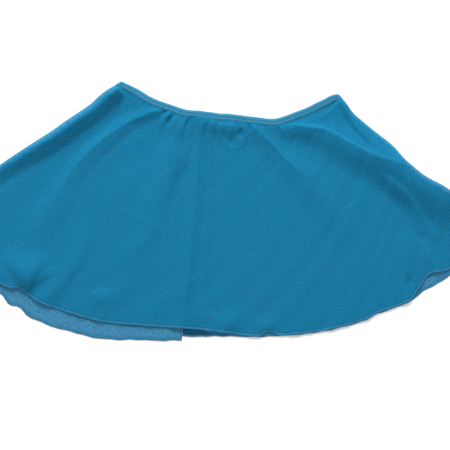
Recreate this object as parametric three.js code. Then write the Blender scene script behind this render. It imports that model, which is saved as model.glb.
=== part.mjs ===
// A child's pull-on ballet skirt in sheer georgette, laid flat with its front uppermost.
// Millimetres, +Z up, the floor at z = 0, +Y towards the waist and +X to the viewer's right.
// The skirt is part of a ring, so it is laid out in polar form about the centre of its cut:
// an angle in degrees from the left side fold round to the right one, and a radius from the
// waist out to the hem. The front layer folds round to the back layer at both sides.

import * as THREE from 'three';

// Driving sizes
const CLOTH = 1.0;
const SEAM_GAP = 0.3;
const BAND_SEAM_GAP = 0.6;
const BAND = { height: 8.8, thickness: 2.2, ribHeight: 0.35 };
const HEM = { width: 3.0, thickness: 1.6 };
const ALLOWANCE = { width: 10, flareWidth: 34, flareLength: 12 };

// Levels of the middle of the front layer's wall over the floor, each a gap above what it covers
const FRONT_LEVEL = CLOTH + SEAM_GAP + CLOTH / 2;
const BAND_LEVEL = BAND.thickness + SEAM_GAP + BAND.thickness / 2;
const FACET_SLACK = 0.1;
const HEM_LEVEL = HEM.thickness + SEAM_GAP + HEM.thickness / 2 + FACET_SLACK;
const ALLOWANCE_LIFT = CLOTH + SEAM_GAP;

// How far the front layer takes to come down to its level, and the ramp over the seam allowance
// in degrees, which starts this far ahead of the allowance's flare
const WAIST_RAMP = 20;
const HEM_RAMP = 16;
const ALLOWANCE_RAMP = { start: 2.9, end: 1.5, ahead: 20 };

// The back layer ends inside the rounded foot of each side roll
const ROLL_CLEARANCE = 0.8;
const SIDE_INSET = CLOTH + ROLL_CLEARANCE;
const HEM_SIDE_INSET = HEM.thickness + ROLL_CLEARANCE + SEAM_GAP;

// How finely each piece is divided
const FRONT_ROWS = 19;
const LEFT_BACK_COLUMNS = 46;
const RIGHT_BACK_COLUMNS = 56;
const EDGE_STEPS = 26;
const ALLOWANCE_STEPS = 24;
const TURN_STEPS = 4;
const ROW_CROWDING = 1.25;

const DEGREE = Math.PI / 180;

// Rows of a table as objects, with the columns named once
function table(names, rows) {
  const keys = names.split(' ');
  return rows.map((row) => Object.fromEntries(keys.map((key, index) => [key, row[index]])));
}

// The cut's edges around the skirt, as radii: the waistband's top edge and each layer's hem
const SECTIONS = table('angle waist frontHem backHem', [
  [32.3, 159.5, 425, 427],
  [36.0, 153.5, 424.5, 428],
  [40.0, 148.6, 424, 429.5],
  [44.0, 145.8, 423.5, 430],
  [48.0, 142.6, 422, 429],
  [50.2, 140.6, 418.5, 429],
  [52.4, 138.6, 411, 432.2],
  [53.8, 137.6, 411, 427.6],
  [55.5, 136.3, 410.4, 430],
  [58.5, 134.6, 406.2, 427],
  [62.0, 132.8, 400.8, 421],
  [65.0, 130.6, 397, 416.6],
  [68.0, 127.9, 392, 411.4],
  [72.0, 125.9, 384.4, 401.6],
  [76.0, 124.5, 379, 394.6],
  [80.0, 123.9, 375, 388.6],
  [84.0, 122.8, 373.6, 381.6],
  [88.0, 123.3, 374.8, 378.8],
  [92.0, 124.5, 377.4, 379.2],
  [96.0, 126.2, 379, 380.2],
  [100.0, 128.5, 381, 382.6],
  [104.0, 131.7, 383.2, 384.6],
  [108.0, 134.3, 384.8, 386.6],
  [112.0, 135.1, 385.4, 387.8],
  [114.0, 135.4, 385.4, 386.4],
  [117.0, 135.9, 387, 388.6],
  [120.0, 136.9, 389.4, 391.4],
  [122.4, 138.0, 384.4, 388.8],
  [125.5, 139.3, 377, 390.6],
  [128.5, 140.5, 386, 391.6],
  [132.0, 142.9, 390, 391.8],
  [136.0, 145.8, 391, 391.8],
  [140.0, 153.6, 391.6, 391.6],
]);

// The back layer's hem steps in at the seam, and this much of the step fades to the right
const HEM_STEP = { depth: 5.2, fade: 2.5 };

// The side folds: where each lies, how wide and high its roll is, and how far inward it falls
const SIDES = table('radius left leftWide leftHigh leftFall right rightWide rightHigh rightFall', [
  [151, 31.9, 3.0, 2.0, 12, 138.8, 3.0, 1.4, 16],
  [164, 31.9, 4.5, 5.5, 14, 138.1, 3.5, 3.4, 36],
  [178, 31.9, 6.5, 7.5, 17, 137.2, 4.2, 4.2, 34],
  [205, 33.0, 7.2, 8.6, 18, 137.5, 4.5, 5.4, 36],
  [235, 33.1, 7.2, 9.0, 19, 138.0, 4.5, 6.2, 38],
  [258, 33.3, 7.2, 9.0, 20, 137.5, 4.5, 6.8, 40],
  [282, 33.2, 7.0, 8.2, 20, 137.7, 4.6, 8.6, 42],
  [312, 33.2, 6.2, 6.0, 18, 138.9, 5.0, 9.6, 44],
  [345, 33.3, 5.4, 4.2, 17, 139.6, 4.6, 7.8, 42],
  [390, 33.3, 4.0, 2.6, 16, 139.9, 3.6, 3.8, 30],
  [428, 33.2, 3.0, 1.8, 14, 140.0, 3.0, 2.0, 14],
]);

// The line of the centre-back seam
const SEAM = table('radius angle', [
  [133, 71.5],
  [152, 72.8],
  [190, 75.4],
  [227, 77.5],
  [260, 78.2],
  [308, 79.0],
  [352, 79.6],
  [390, 80.2],
]);

// Large folds of the front layer. Each crest runs outward from the waist; its rise faces the
// left side and its fall faces the right side, both as widths along the ring.
const FOLDS = {
  leftSecond: table('radius angle high rise fall', [
    [144, 51.5, 1.0, 8, 7],
    [158, 49.8, 1.9, 12, 10],
    [184, 45.8, 2.7, 14, 15],
    [207, 44.6, 2.9, 13, 17],
    [235, 44.0, 2.8, 13, 19],
    [270, 44.8, 2.4, 15, 22],
    [310, 46.6, 2.0, 20, 26],
    [360, 48.0, 1.6, 26, 28],
    [425, 49.0, 1.0, 26, 28],
  ]),
  leftHem: table('radius angle high rise fall', [
    [350, 51.9, 0, 14, 12],
    [370, 51.9, 3.0, 14, 12],
    [388, 51.8, 6.0, 13, 12],
    [405, 51.4, 3.2, 12, 12],
    [426, 51.0, 0.8, 12, 12],
  ]),
  leftHemMiddle: table('radius angle high rise fall', [
    [300, 56.6, 0, 20, 16],
    [350, 56.8, 1.6, 20, 16],
    [405, 56.6, 1.8, 18, 15],
  ]),
  besideSeam: table('radius angle high rise fall', [
    [142, 61.0, 0.8, 12, 9],
    [164, 63.8, 2.4, 18, 12],
    [184, 66.2, 3.2, 24, 14],
    [215, 67.4, 3.0, 28, 16],
    [262, 67.6, 1.8, 30, 20],
    [330, 67.0, 0.8, 30, 24],
    [390, 66.4, 0, 30, 24],
  ]),
  middleCrease: table('radius angle high rise fall', [
    [132, 96.0, 0.8, 9, 8],
    [150, 100.0, 1.6, 18, 15],
    [170, 104.6, 2.6, 25, 21],
    [196, 109.2, 3.2, 30, 24],
    [216, 111.6, 2.8, 32, 28],
    [250, 114.0, 1.8, 30, 26],
    [300, 115.0, 0, 30, 26],
  ]),
  rightBroad: table('radius angle high rise fall', [
    [138, 110.0, 0.4, 20, 58],
    [146, 113.0, 1.0, 24, 58],
    [154, 117.0, 1.8, 27, 54],
    [169, 122.8, 3.2, 30, 46],
    [196, 127.4, 5.4, 32, 39],
    [230, 131.0, 7.0, 34, 36],
    [262, 134.0, 6.6, 36, 38],
    [300, 134.6, 4.0, 38, 36],
    [345, 133.0, 1.2, 32, 30],
    [372, 132.0, 0, 30, 30],
  ]),
  rightCrest: table('radius angle high rise fall', [
    [140, 112.0, 0.4, 6, 8],
    [152, 117.0, 0.7, 8, 12],
    [170, 124.6, 0.9, 9, 16],
    [207, 130.2, 0.9, 9, 17],
    [246, 134.6, 0.8, 9, 14],
    [272, 137.0, 0, 9, 12],
  ]),
  rightHem: table('radius angle high rise fall', [
    [330, 128.0, 0, 22, 12],
    [362, 127.4, 1.6, 20, 14],
    [392, 126.4, 1.7, 18, 16],
  ]),
};

// Gathers where the front layer meets the waistband
const GATHERS = table('angle high reach', [
  [52.2, 1.0, 16],
  [56.4, 1.6, 20],
  [60.6, 1.2, 15],
  [64.6, 1.8, 24],
  [69.0, 1.2, 16],
  [73.0, 1.5, 26],
  [77.4, 1.2, 18],
  [81.6, 1.8, 30],
  [86.0, 1.3, 20],
  [92.4, 1.9, 30],
  [96.8, 1.4, 18],
  [100.8, 1.7, 24],
  [105.0, 1.3, 18],
  [109.0, 1.4, 20],
]);
const GATHER_HALF_WIDTH = 5.2;

// Distances over which the forms above come up: a gather from the band, a roll and a fold
const GATHER_SWELL = { from: -2, to: 5 };
const ROLL_START = 20;
const FOLD_START = 16;
const FOLD_SWELL = { from: 2, to: 15 };

// Waves along the front layer's hem
const HEM_WAVES = table('angle high halfWidth', [
  [61.5, 1.2, 13],
  [66.0, 1.6, 10],
  [73.5, 0.9, 15],
  [87.0, 1.5, 9],
  [93.0, 1.7, 10],
  [99.5, 1.0, 14],
  [106.5, 1.5, 12],
  [113.0, 1.1, 13],
  [119.5, 1.6, 11],
  [134.0, 1.2, 12],
]);
const HEM_WAVE_REACH = 34;

// Where the front layer's columns lie: closer together over the folds
const COLUMN_RUNS = table('from to count', [
  [0.0, 0.2, 15],
  [0.2, 0.35, 7],
  [0.35, 0.5, 13],
  [0.5, 0.6, 5],
  [0.6, 0.8, 12],
  [0.8, 1.0, 16],
]);

// A smooth function through a table's points that never overshoots them
function curve(rows, input, output) {
  const xs = rows.map((row) => row[input]);
  const ys = rows.map((row) => row[output]);
  const last = xs.length - 1;
  const secants = xs.slice(1).map((x, index) => (ys[index + 1] - ys[index]) / (x - xs[index]));
  const slopes = xs.map((x, index) => {
    if (index === 0) return secants[0];
    if (index === last) return secants[last - 1];
    const product = secants[index - 1] * secants[index];
    return product <= 0 ? 0 : (2 * product) / (secants[index - 1] + secants[index]);
  });
  return (value) => {
    const x = Math.min(Math.max(value, xs[0]), xs[last]);
    let index = 0;
    while (index < last - 1 && x > xs[index + 1]) index += 1;
    const span = xs[index + 1] - xs[index];
    const t = (x - xs[index]) / span;
    const fromStart = (1 + 2 * t) * (1 - t) ** 2 * ys[index] + t * (1 - t) ** 2 * span * slopes[index];
    const toEnd = t * t * (3 - 2 * t) * ys[index + 1] - t * t * (1 - t) * span * slopes[index + 1];
    return fromStart + toEnd;
  };
}

function curves(rows, input) {
  const outputs = Object.keys(rows[0]).filter((key) => key !== input);
  return Object.fromEntries(outputs.map((output) => [output, curve(rows, input, output)]));
}

// Even shares from 0 to 1
function steps(count) {
  return Array.from({ length: count }, (_, index) => index / (count - 1));
}

function lerp(from, to, share) {
  return from + (to - from) * share;
}

// 0 below the first edge, 1 above the second, smooth between
function smoothStep(low, high, value) {
  return THREE.MathUtils.smoothstep(value, low, high);
}

// 1 at the crest and 0 at the foot on either side
function crestShape(offset, rise, fall) {
  const share = Math.min(Math.abs(offset / (offset < 0 ? rise : fall)), 1);
  return (1 + Math.cos(Math.PI * share)) / 2;
}

const section = curves(SECTIONS, 'angle');
const side = curves(SIDES, 'radius');
const seamAngle = curve(SEAM, 'radius', 'angle');
const foldCurves = Object.values(FOLDS).map((rows) => ({
  start: rows[0].radius,
  ...curves(rows, 'radius'),
}));

const SEAM_FOOT = SEAM[SEAM.length - 1].angle;
const LEFT_ANGLE = SECTIONS[0].angle;
const RIGHT_ANGLE = SECTIONS[SECTIONS.length - 1].angle;

function bandEnd(angle) {
  return section.waist(angle) + BAND.height;
}

// The back layer's hem, which lies a little further in to the right of the seam
function backHem(angle, isLeft) {
  const pastSeam = Math.max(angle - SEAM_FOOT, 0);
  const step = isLeft ? 0 : HEM_STEP.depth * Math.exp(-pastSeam / HEM_STEP.fade);
  return section.backHem(angle) - step;
}

// An arc length along the ring at this radius, from one angle to another
function arc(fromAngle, toAngle, radius) {
  return (toAngle - fromAngle) * DEGREE * radius;
}

function angleOf(length, radius) {
  return length / radius / DEGREE;
}

const ALLOWANCE_END = section.backHem(SEAM_FOOT) - HEM_STEP.depth - HEM.width - SEAM_GAP;

function allowanceWidth(radius) {
  const flareStart = ALLOWANCE_END - ALLOWANCE.flareLength;
  return lerp(ALLOWANCE.width, ALLOWANCE.flareWidth, smoothStep(flareStart, ALLOWANCE_END, radius));
}

// 1 where the front layer passes over the seam allowance, with a gentle ramp on either side
function overAllowance(angle, radius) {
  const fromSeam = angle - seamAngle(radius);
  const width = angleOf(allowanceWidth(radius + ALLOWANCE_RAMP.ahead), radius);
  const { start, end } = ALLOWANCE_RAMP;
  return smoothStep(-start, -end, fromSeam) * (1 - smoothStep(width + end, width + start, fromSeam));
}

// The front layer's level before its folds: over the back layer, the band and the hem
function restLevel(angle, radius) {
  const fromBand = radius - bandEnd(angle);
  const toHem = section.frontHem(angle) - radius;
  const waistLift = (BAND_LEVEL - FRONT_LEVEL) * (1 - smoothStep(0, WAIST_RAMP, fromBand));
  const hemLift = (HEM_LEVEL - FRONT_LEVEL) * (1 - smoothStep(HEM.width, HEM_RAMP, toHem));
  return FRONT_LEVEL + Math.max(waistLift, hemLift) + ALLOWANCE_LIFT * overAllowance(angle, radius);
}

function foldHeight(angle, radius) {
  const swell = smoothStep(FOLD_SWELL.from, FOLD_SWELL.to, radius - bandEnd(angle));
  return swell * foldCurves.reduce((sum, fold) => {
    const startFade = smoothStep(fold.start - FOLD_START, fold.start, radius);
    const offset = arc(fold.angle(radius), angle, radius);
    return sum + startFade * fold.high(radius) * crestShape(offset, fold.rise(radius), fold.fall(radius));
  }, 0);
}

function gatherHeight(angle, radius) {
  const outward = Math.max(radius - bandEnd(angle), 0);
  return GATHERS.reduce((sum, gather) => {
    const offset = arc(gather.angle, angle, radius);
    const fade = Math.exp(-((outward / gather.reach) ** 2));
    const swell = smoothStep(GATHER_SWELL.from, GATHER_SWELL.to, outward);
    return sum + gather.high * swell * fade * crestShape(offset, GATHER_HALF_WIDTH, GATHER_HALF_WIDTH);
  }, 0);
}

function hemWaveHeight(angle, radius) {
  const inward = section.frontHem(angle) - radius;
  const fade = 1 - smoothStep(0, HEM_WAVE_REACH, inward);
  return HEM_WAVES.reduce((sum, wave) => {
    const offset = arc(wave.angle, angle, radius);
    return sum + wave.high * fade * crestShape(offset, wave.halfWidth, wave.halfWidth);
  }, 0);
}

// The ridge that each side roll leaves on the inner side of its crest
function sideHeight(angle, radius) {
  const bandFade = smoothStep(0, ROLL_START, radius - bandEnd(angle));
  const leftWide = side.leftWide(radius);
  const rightWide = side.rightWide(radius);
  const fromLeft = arc(side.left(radius), angle, radius) - leftWide;
  const fromRight = arc(angle, side.right(radius), radius) - rightWide;
  const left = side.leftHigh(radius) * crestShape(fromLeft, leftWide, side.leftFall(radius));
  const right = side.rightHigh(radius) * crestShape(fromRight, rightWide, side.rightFall(radius));
  return bandFade * (left + right);
}

function frontHeight(angle, radius) {
  const folds = foldHeight(angle, radius) + gatherHeight(angle, radius) + hemWaveHeight(angle, radius);
  return restLevel(angle, radius) + folds + sideHeight(angle, radius);
}

// A point of the laid-out skirt, from its polar place and its height
function placed(angle, radius, height) {
  const turn = angle * DEGREE;
  return new THREE.Vector3(-radius * Math.cos(turn), -radius * Math.sin(turn), height);
}

// The front layer's columns run from floor to floor: up the left roll, across, down the right one
function frontColumns() {
  const turns = Array.from({ length: TURN_STEPS }, (_, index) => (index / TURN_STEPS) * 90);
  const across = COLUMN_RUNS.flatMap((run) => (
    Array.from({ length: run.count }, (_, index) => lerp(run.from, run.to, index / run.count))
  ));
  return [
    ...turns.map((turn) => ({ share: 0, turn })),
    ...[...across, 1].map((share) => ({ share, turn: 90 })),
    ...turns.reverse().map((turn) => ({ share: 1, turn })),
  ];
}

// The polar place where a line round the skirt crosses one share of the way between two side lines.
// The line is a radius for each angle, and a side line is an angle for each radius.
function placeBetween(sides, share, line) {
  const guess = lerp(LEFT_ANGLE, RIGHT_ANGLE, 0.5);
  const sideAngle = (angle) => lerp(sides[0](line(angle)), sides[1](line(angle)), share);
  const angle = sideAngle(sideAngle(sideAngle(guess)));
  return { angle, radius: line(angle) };
}

// The middle of the front layer's wall at one column, part of the way from one edge to the other
function frontPoint(column, innerEdge, outerEdge, along) {
  const line = (angle) => lerp(innerEdge(angle), outerEdge(angle), along);
  const inset = CLOTH / 2;
  const leftCrest = (radius) => side.left(radius) + angleOf(inset + side.leftWide(radius), radius);
  const rightCrest = (radius) => side.right(radius) - angleOf(inset + side.rightWide(radius), radius);
  const crest = placeBetween([leftCrest, rightCrest], column.share, line);
  const height = frontHeight(crest.angle, crest.radius);
  if (column.turn === 90) return placed(crest.angle, crest.radius, height);
  const turn = column.turn * DEGREE;
  const outward = column.share === 0 ? -side.leftWide(crest.radius) : side.rightWide(crest.radius);
  const angle = crest.angle + angleOf(outward * Math.cos(turn), crest.radius);
  return placed(angle, line(angle), height * Math.sin(turn));
}

// The direction out of the front layer at each point of a grid of its points.
// The end columns stand on the floor, so theirs is level.
function gridNormals(grid) {
  return grid.map((line, column) => line.map((point, row) => {
    const before = grid[Math.max(column - 1, 0)][row];
    const after = grid[Math.min(column + 1, grid.length - 1)][row];
    const inner = line[Math.max(row - 1, 0)];
    const outer = line[Math.min(row + 1, line.length - 1)];
    const acrossStep = new THREE.Vector3().subVectors(after, before);
    const outwardStep = new THREE.Vector3().subVectors(outer, inner);
    const normal = new THREE.Vector3().crossVectors(outwardStep, acrossStep);
    if (column === 0 || column === grid.length - 1) normal.z = 0;
    return normal.normalize();
  }));
}

function offsetGrid(grid, normals, distance) {
  return grid.map((line, column) => line.map((point, row) => (
    point.clone().addScaledVector(normals[column][row], distance)
  )));
}

function solid(points, triangles) {
  const geometry = new THREE.BufferGeometry();
  geometry.setAttribute('position', new THREE.Float32BufferAttribute(points.flatMap((p) => p.toArray()), 3));
  geometry.setIndex(triangles);
  geometry.computeVertexNormals();
  return geometry;
}

// A closed wall between an upper and a lower grid of points
function wallBetween(upper, lower) {
  const columns = upper.length;
  const rows = upper[0].length;
  const points = [...upper.flat(), ...lower.flat()];
  const top = (column, row) => column * rows + row;
  const bottom = (column, row) => columns * rows + column * rows + row;
  const triangles = [];
  const quad = (a, b, c, d) => triangles.push(a, b, c, a, c, d);
  for (let i = 0; i < columns - 1; i += 1) {
    for (let j = 0; j < rows - 1; j += 1) {
      quad(top(i, j), top(i, j + 1), top(i + 1, j + 1), top(i + 1, j));
      quad(bottom(i, j), bottom(i + 1, j), bottom(i + 1, j + 1), bottom(i, j + 1));
    }
    quad(top(i, 0), top(i + 1, 0), bottom(i + 1, 0), bottom(i, 0));
    quad(top(i, rows - 1), bottom(i, rows - 1), bottom(i + 1, rows - 1), top(i + 1, rows - 1));
  }
  for (let j = 0; j < rows - 1; j += 1) {
    quad(top(0, j), bottom(0, j), bottom(0, j + 1), top(0, j + 1));
    quad(top(columns - 1, j), top(columns - 1, j + 1), bottom(columns - 1, j + 1), bottom(columns - 1, j));
  }
  return solid(points, triangles);
}

// A closed bar through matching cross-sections, which either meet round a loop or are capped
function barThrough(rings, isLoop) {
  const count = rings.length;
  const size = rings[0].length;
  const at = (ring, index) => (ring % count) * size + (index % size);
  const triangles = [];
  for (let ring = 0; ring < (isLoop ? count : count - 1); ring += 1) {
    for (let index = 0; index < size; index += 1) {
      const corner = [at(ring, index), at(ring, index + 1), at(ring + 1, index + 1), at(ring + 1, index)];
      triangles.push(corner[0], corner[1], corner[2], corner[0], corner[2], corner[3]);
    }
  }
  if (!isLoop) {
    for (let index = 1; index < size - 1; index += 1) {
      triangles.push(at(0, 0), at(0, index + 1), at(0, index));
      triangles.push(at(count - 1, 0), at(count - 1, index), at(count - 1, index + 1));
    }
  }
  return solid(rings.flat(), triangles);
}

// The front layer's rows crowd together towards the waist, where its gathers are; its upper edge
// keeps a wider gap, because the waistband's facets cut across the curve
function frontPanel() {
  const top = (angle) => bandEnd(angle) + BAND_SEAM_GAP;
  const bottom = (angle) => section.frontHem(angle) - HEM.width - SEAM_GAP;
  const alongs = steps(FRONT_ROWS).map((share) => share ** ROW_CROWDING);
  const grid = frontColumns().map((column) => alongs.map((along) => frontPoint(column, top, bottom, along)));
  const normals = gridNormals(grid);
  return wallBetween(offsetGrid(grid, normals, CLOTH / 2), offsetGrid(grid, normals, -CLOTH / 2));
}

// The hem's rolled cross-section: shares of its width outward and of half its thickness up
const HEM_SECTION = table('outward up', [
  [0.0, -1.0],
  [0.0, 0.45],
  [0.3, 1.0],
  [0.7, 1.0],
  [1.0, 0.45],
  [1.0, -1.0],
]);

function frontHem() {
  const grid = frontColumns().map((column) => HEM_SECTION.map(({ outward }) => (
    frontPoint(column, (angle) => section.frontHem(angle) - HEM.width, section.frontHem, outward)
  )));
  const ends = grid.map((line) => [line[0], line[line.length - 1]]);
  const normals = gridNormals(ends);
  const rings = grid.map((line, column) => line.map((point, index) => (
    point.clone().addScaledVector(normals[column][0], (HEM_SECTION[index].up * HEM.thickness) / 2)
  )));
  return barThrough(rings, false);
}

// The back layer lies on the floor, from just inside one side fold or the seam to the next
function backEdges(isLeft, inset) {
  const gap = SEAM_GAP / 2;
  const leftSide = (radius) => side.left(radius) + angleOf(inset, radius);
  const rightSide = (radius) => side.right(radius) - angleOf(inset, radius);
  const beforeSeam = (radius) => seamAngle(radius) - angleOf(gap, radius);
  const afterSeam = (radius) => seamAngle(radius) + angleOf(gap, radius);
  return isLeft ? [leftSide, beforeSeam] : [afterSeam, rightSide];
}

function flatPoint({ angle, radius }) {
  const point = placed(angle, radius, 0);
  return new THREE.Vector2(point.x, point.y);
}

function plate(outline, height) {
  const geometry = new THREE.ExtrudeGeometry(new THREE.Shape(outline), { depth: CLOTH, bevelEnabled: false });
  return geometry.translate(0, 0, height);
}

function backPanel(isLeft) {
  const columns = isLeft ? LEFT_BACK_COLUMNS : RIGHT_BACK_COLUMNS;
  const edges = backEdges(isLeft, SIDE_INSET);
  const top = (angle) => bandEnd(angle) + BAND_SEAM_GAP;
  const bottom = (angle) => backHem(angle, isLeft) - HEM.width - SEAM_GAP;
  const waistRun = steps(columns).map((share) => placeBetween(edges, share, top));
  const hemRun = steps(columns).map((share) => placeBetween(edges, share, bottom)).reverse();
  const edgeRun = (edge, from, to) => steps(EDGE_STEPS).slice(1, -1).map((share) => {
    const radius = lerp(from.radius, to.radius, share);
    return { angle: edge(radius), radius };
  });
  const rightRun = edgeRun(edges[1], waistRun[columns - 1], hemRun[0]);
  const leftRun = edgeRun(edges[0], hemRun[columns - 1], waistRun[0]);
  return plate([...waistRun, ...rightRun, ...hemRun, ...leftRun].map(flatPoint), 0);
}

function backHemRun(isLeft) {
  const columns = isLeft ? LEFT_BACK_COLUMNS : RIGHT_BACK_COLUMNS;
  const edges = backEdges(isLeft, HEM_SIDE_INSET);
  const rings = steps(columns).map((share) => HEM_SECTION.map(({ outward, up }) => {
    const line = (at) => backHem(at, isLeft) - HEM.width * (1 - outward);
    const { angle, radius } = placeBetween(edges, share, line);
    return placed(angle, radius, ((up + 1) * HEM.thickness) / 2);
  }));
  return barThrough(rings, false);
}

// The seam allowance lies turned to the right on the back layer, and spreads at the hem,
// where its steps crowd together
function seamAllowance() {
  const start = bandEnd(SEAM[0].angle) + SEAM_GAP;
  const radii = steps(ALLOWANCE_STEPS).map((share) => lerp(start, ALLOWANCE_END, Math.sqrt(share)));
  const edge = (across) => radii.map((radius) => {
    const angle = seamAngle(radius) + angleOf(SEAM_GAP + across(radius), radius);
    return { angle, radius: Math.min(radius, backHem(angle, false) - HEM.width - SEAM_GAP) };
  });
  const outline = [...edge(() => 0), ...edge(allowanceWidth).reverse()];
  return plate(outline.map(flatPoint), CLOTH + SEAM_GAP);
}

// The waistband's cross-section, with two ribs along its outer face
const BAND_SECTION = table('outward up rib', [
  [0.0, -1.0, 0],
  [0.0, 0.6, 0],
  [0.12, 1.0, 0],
  [0.32, 1.0, 1],
  [0.5, 1.0, 0],
  [0.68, 1.0, 1],
  [0.88, 1.0, 0],
  [1.0, 0.6, 0],
  [1.0, -1.0, 0],
]);
const BAND_COLUMNS = 44;
const BAND_TURN_STEPS = 4;

// Stations round the waistband: across the front, round the right end, back and round the left end
function bandStations() {
  const lowMiddle = BAND.thickness / 2;
  const turnRadius = (BAND_LEVEL - lowMiddle) / 2;
  const across = steps(BAND_COLUMNS);
  const turns = steps(BAND_TURN_STEPS + 2).slice(1, -1).map((share) => share * 180);
  return [
    ...across.map((share) => ({ share, bulge: 0, height: BAND_LEVEL, tilt: 0 })),
    ...turns.map((turn) => ({ share: 1, ...turnStation(turn, turnRadius), tilt: turn })),
    ...across.reverse().map((share) => ({ share, bulge: 0, height: lowMiddle, tilt: 180 })),
    ...turns.map((turn) => ({ share: 0, ...turnStation(180 - turn, turnRadius), tilt: 180 + turn })),
  ];
}

function turnStation(turn, turnRadius) {
  const height = BAND.thickness / 2 + turnRadius * (1 + Math.cos(turn * DEGREE));
  return { bulge: turnRadius * Math.sin(turn * DEGREE), height };
}

function waistband() {
  const inset = (BAND_LEVEL + BAND.thickness / 2) / 2;
  const leftEnd = (radius) => side.left(radius) + angleOf(inset, radius);
  const rightEnd = (radius) => side.right(radius) - angleOf(inset, radius);
  const rings = bandStations().map((station) => BAND_SECTION.map(({ outward, up, rib }) => {
    const line = (angle) => section.waist(angle) + outward * BAND.height;
    const place = placeBetween([leftEnd, rightEnd], station.share, line);
    const isFlat = station.tilt === 180;
    const lift = (up * BAND.thickness) / 2 + (isFlat ? 0 : rib * BAND.ribHeight);
    const bulge = (station.share === 0 ? -1 : 1) * station.bulge + lift * Math.sin(station.tilt * DEGREE);
    const angle = place.angle + angleOf(bulge, place.radius);
    return placed(angle, line(angle), station.height + lift * Math.cos(station.tilt * DEGREE));
  }));
  return barThrough(rings, true);
}

// Cloth colours: the layers over each other look deeper than the narrow double edges
const CLOTH_COLOUR = '#1b78a1';
const EDGE_COLOUR = '#2787ae';
const BAND_COLOUR = '#2f8fb6';

function clothMaterial(colour) {
  return new THREE.MeshStandardMaterial({ color: colour, roughness: 0.9, metalness: 0 });
}

function piece(name, geometry, colour) {
  const mesh = new THREE.Mesh(geometry, clothMaterial(colour));
  mesh.name = name;
  return mesh;
}

const skirt = new THREE.Group();
skirt.add(
  piece('front_panel', frontPanel(), CLOTH_COLOUR),
  piece('back_panel_left', backPanel(true), CLOTH_COLOUR),
  piece('back_panel_right', backPanel(false), CLOTH_COLOUR),
  piece('back_seam_allowance', seamAllowance(), CLOTH_COLOUR),
  piece('waistband', waistband(), BAND_COLOUR),
  piece('front_hem', frontHem(), EDGE_COLOUR),
  piece('back_hem_left', backHemRun(true), EDGE_COLOUR),
  piece('back_hem_right', backHemRun(false), EDGE_COLOUR),
);

// The origin is under the middle of the whole skirt, on the floor
const extent = new THREE.Box3().setFromObject(skirt);
const middle = extent.getCenter(new THREE.Vector3());
skirt.children.forEach((mesh) => mesh.position.set(-middle.x, -middle.y, 0));

export default skirt;
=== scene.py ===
"""The looks of a child's pull-on ballet skirt in sheer georgette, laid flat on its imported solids.

The skirt is part of a ring, so its form is worked out in polar places about the centre of its
cut: an angle in degrees from the left side fold round to the right one, and a radius from the
waist out to the hem. Forms are in millimetres and degrees until a mesh is made of them.
"""

import logging
import math
from collections.abc import Callable
from dataclasses import dataclass
from enum import Enum
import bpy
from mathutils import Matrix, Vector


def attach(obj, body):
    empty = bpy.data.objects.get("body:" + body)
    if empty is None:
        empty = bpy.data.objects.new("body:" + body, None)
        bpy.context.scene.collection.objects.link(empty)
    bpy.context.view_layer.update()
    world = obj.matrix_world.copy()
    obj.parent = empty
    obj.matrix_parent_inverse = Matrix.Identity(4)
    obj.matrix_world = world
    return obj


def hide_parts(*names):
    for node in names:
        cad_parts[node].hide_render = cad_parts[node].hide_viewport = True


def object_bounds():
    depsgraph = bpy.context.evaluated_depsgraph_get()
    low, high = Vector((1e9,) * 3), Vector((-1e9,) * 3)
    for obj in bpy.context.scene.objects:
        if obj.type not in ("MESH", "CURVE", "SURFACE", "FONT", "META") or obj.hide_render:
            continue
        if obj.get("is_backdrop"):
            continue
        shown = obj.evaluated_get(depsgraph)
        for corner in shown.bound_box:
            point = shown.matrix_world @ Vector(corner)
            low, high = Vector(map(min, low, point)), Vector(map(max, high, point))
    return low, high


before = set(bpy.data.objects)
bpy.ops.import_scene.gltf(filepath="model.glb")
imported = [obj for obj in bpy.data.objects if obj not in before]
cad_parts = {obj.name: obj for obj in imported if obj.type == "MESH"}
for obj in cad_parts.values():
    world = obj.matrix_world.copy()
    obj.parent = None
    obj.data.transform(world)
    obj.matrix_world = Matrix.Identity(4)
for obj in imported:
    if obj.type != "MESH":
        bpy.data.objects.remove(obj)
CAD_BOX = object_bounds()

from types import SimpleNamespace

import bpy
import numpy as np
from mathutils import Vector

log = logging.getLogger("skirt")

# Sizes below are in millimetres and angles in degrees
MM = 0.001
DEGREE = math.pi / 180
BODY = "root"
UP = [0.0, 0.0, 1.0]
FLOOR_CLEARANCE = 0.03
MIDDLE_ANGLE = 86.0
PLACING_ROUNDS = 5

Number = np.ndarray | float
Line = Callable[[np.ndarray], np.ndarray]
Colour = tuple[float, float, float]
Place = tuple[float, float, float]


class Side(Enum):
    """The two side folds, left and right as the viewer sees them."""

    LEFT = -1
    RIGHT = 1


class Slot(Enum):
    """The record's material slots."""

    CLOTH = "georgette"
    HEM = "rolled_hem"
    BAND = "waistband_casing"


# Curves and shapes

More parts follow.
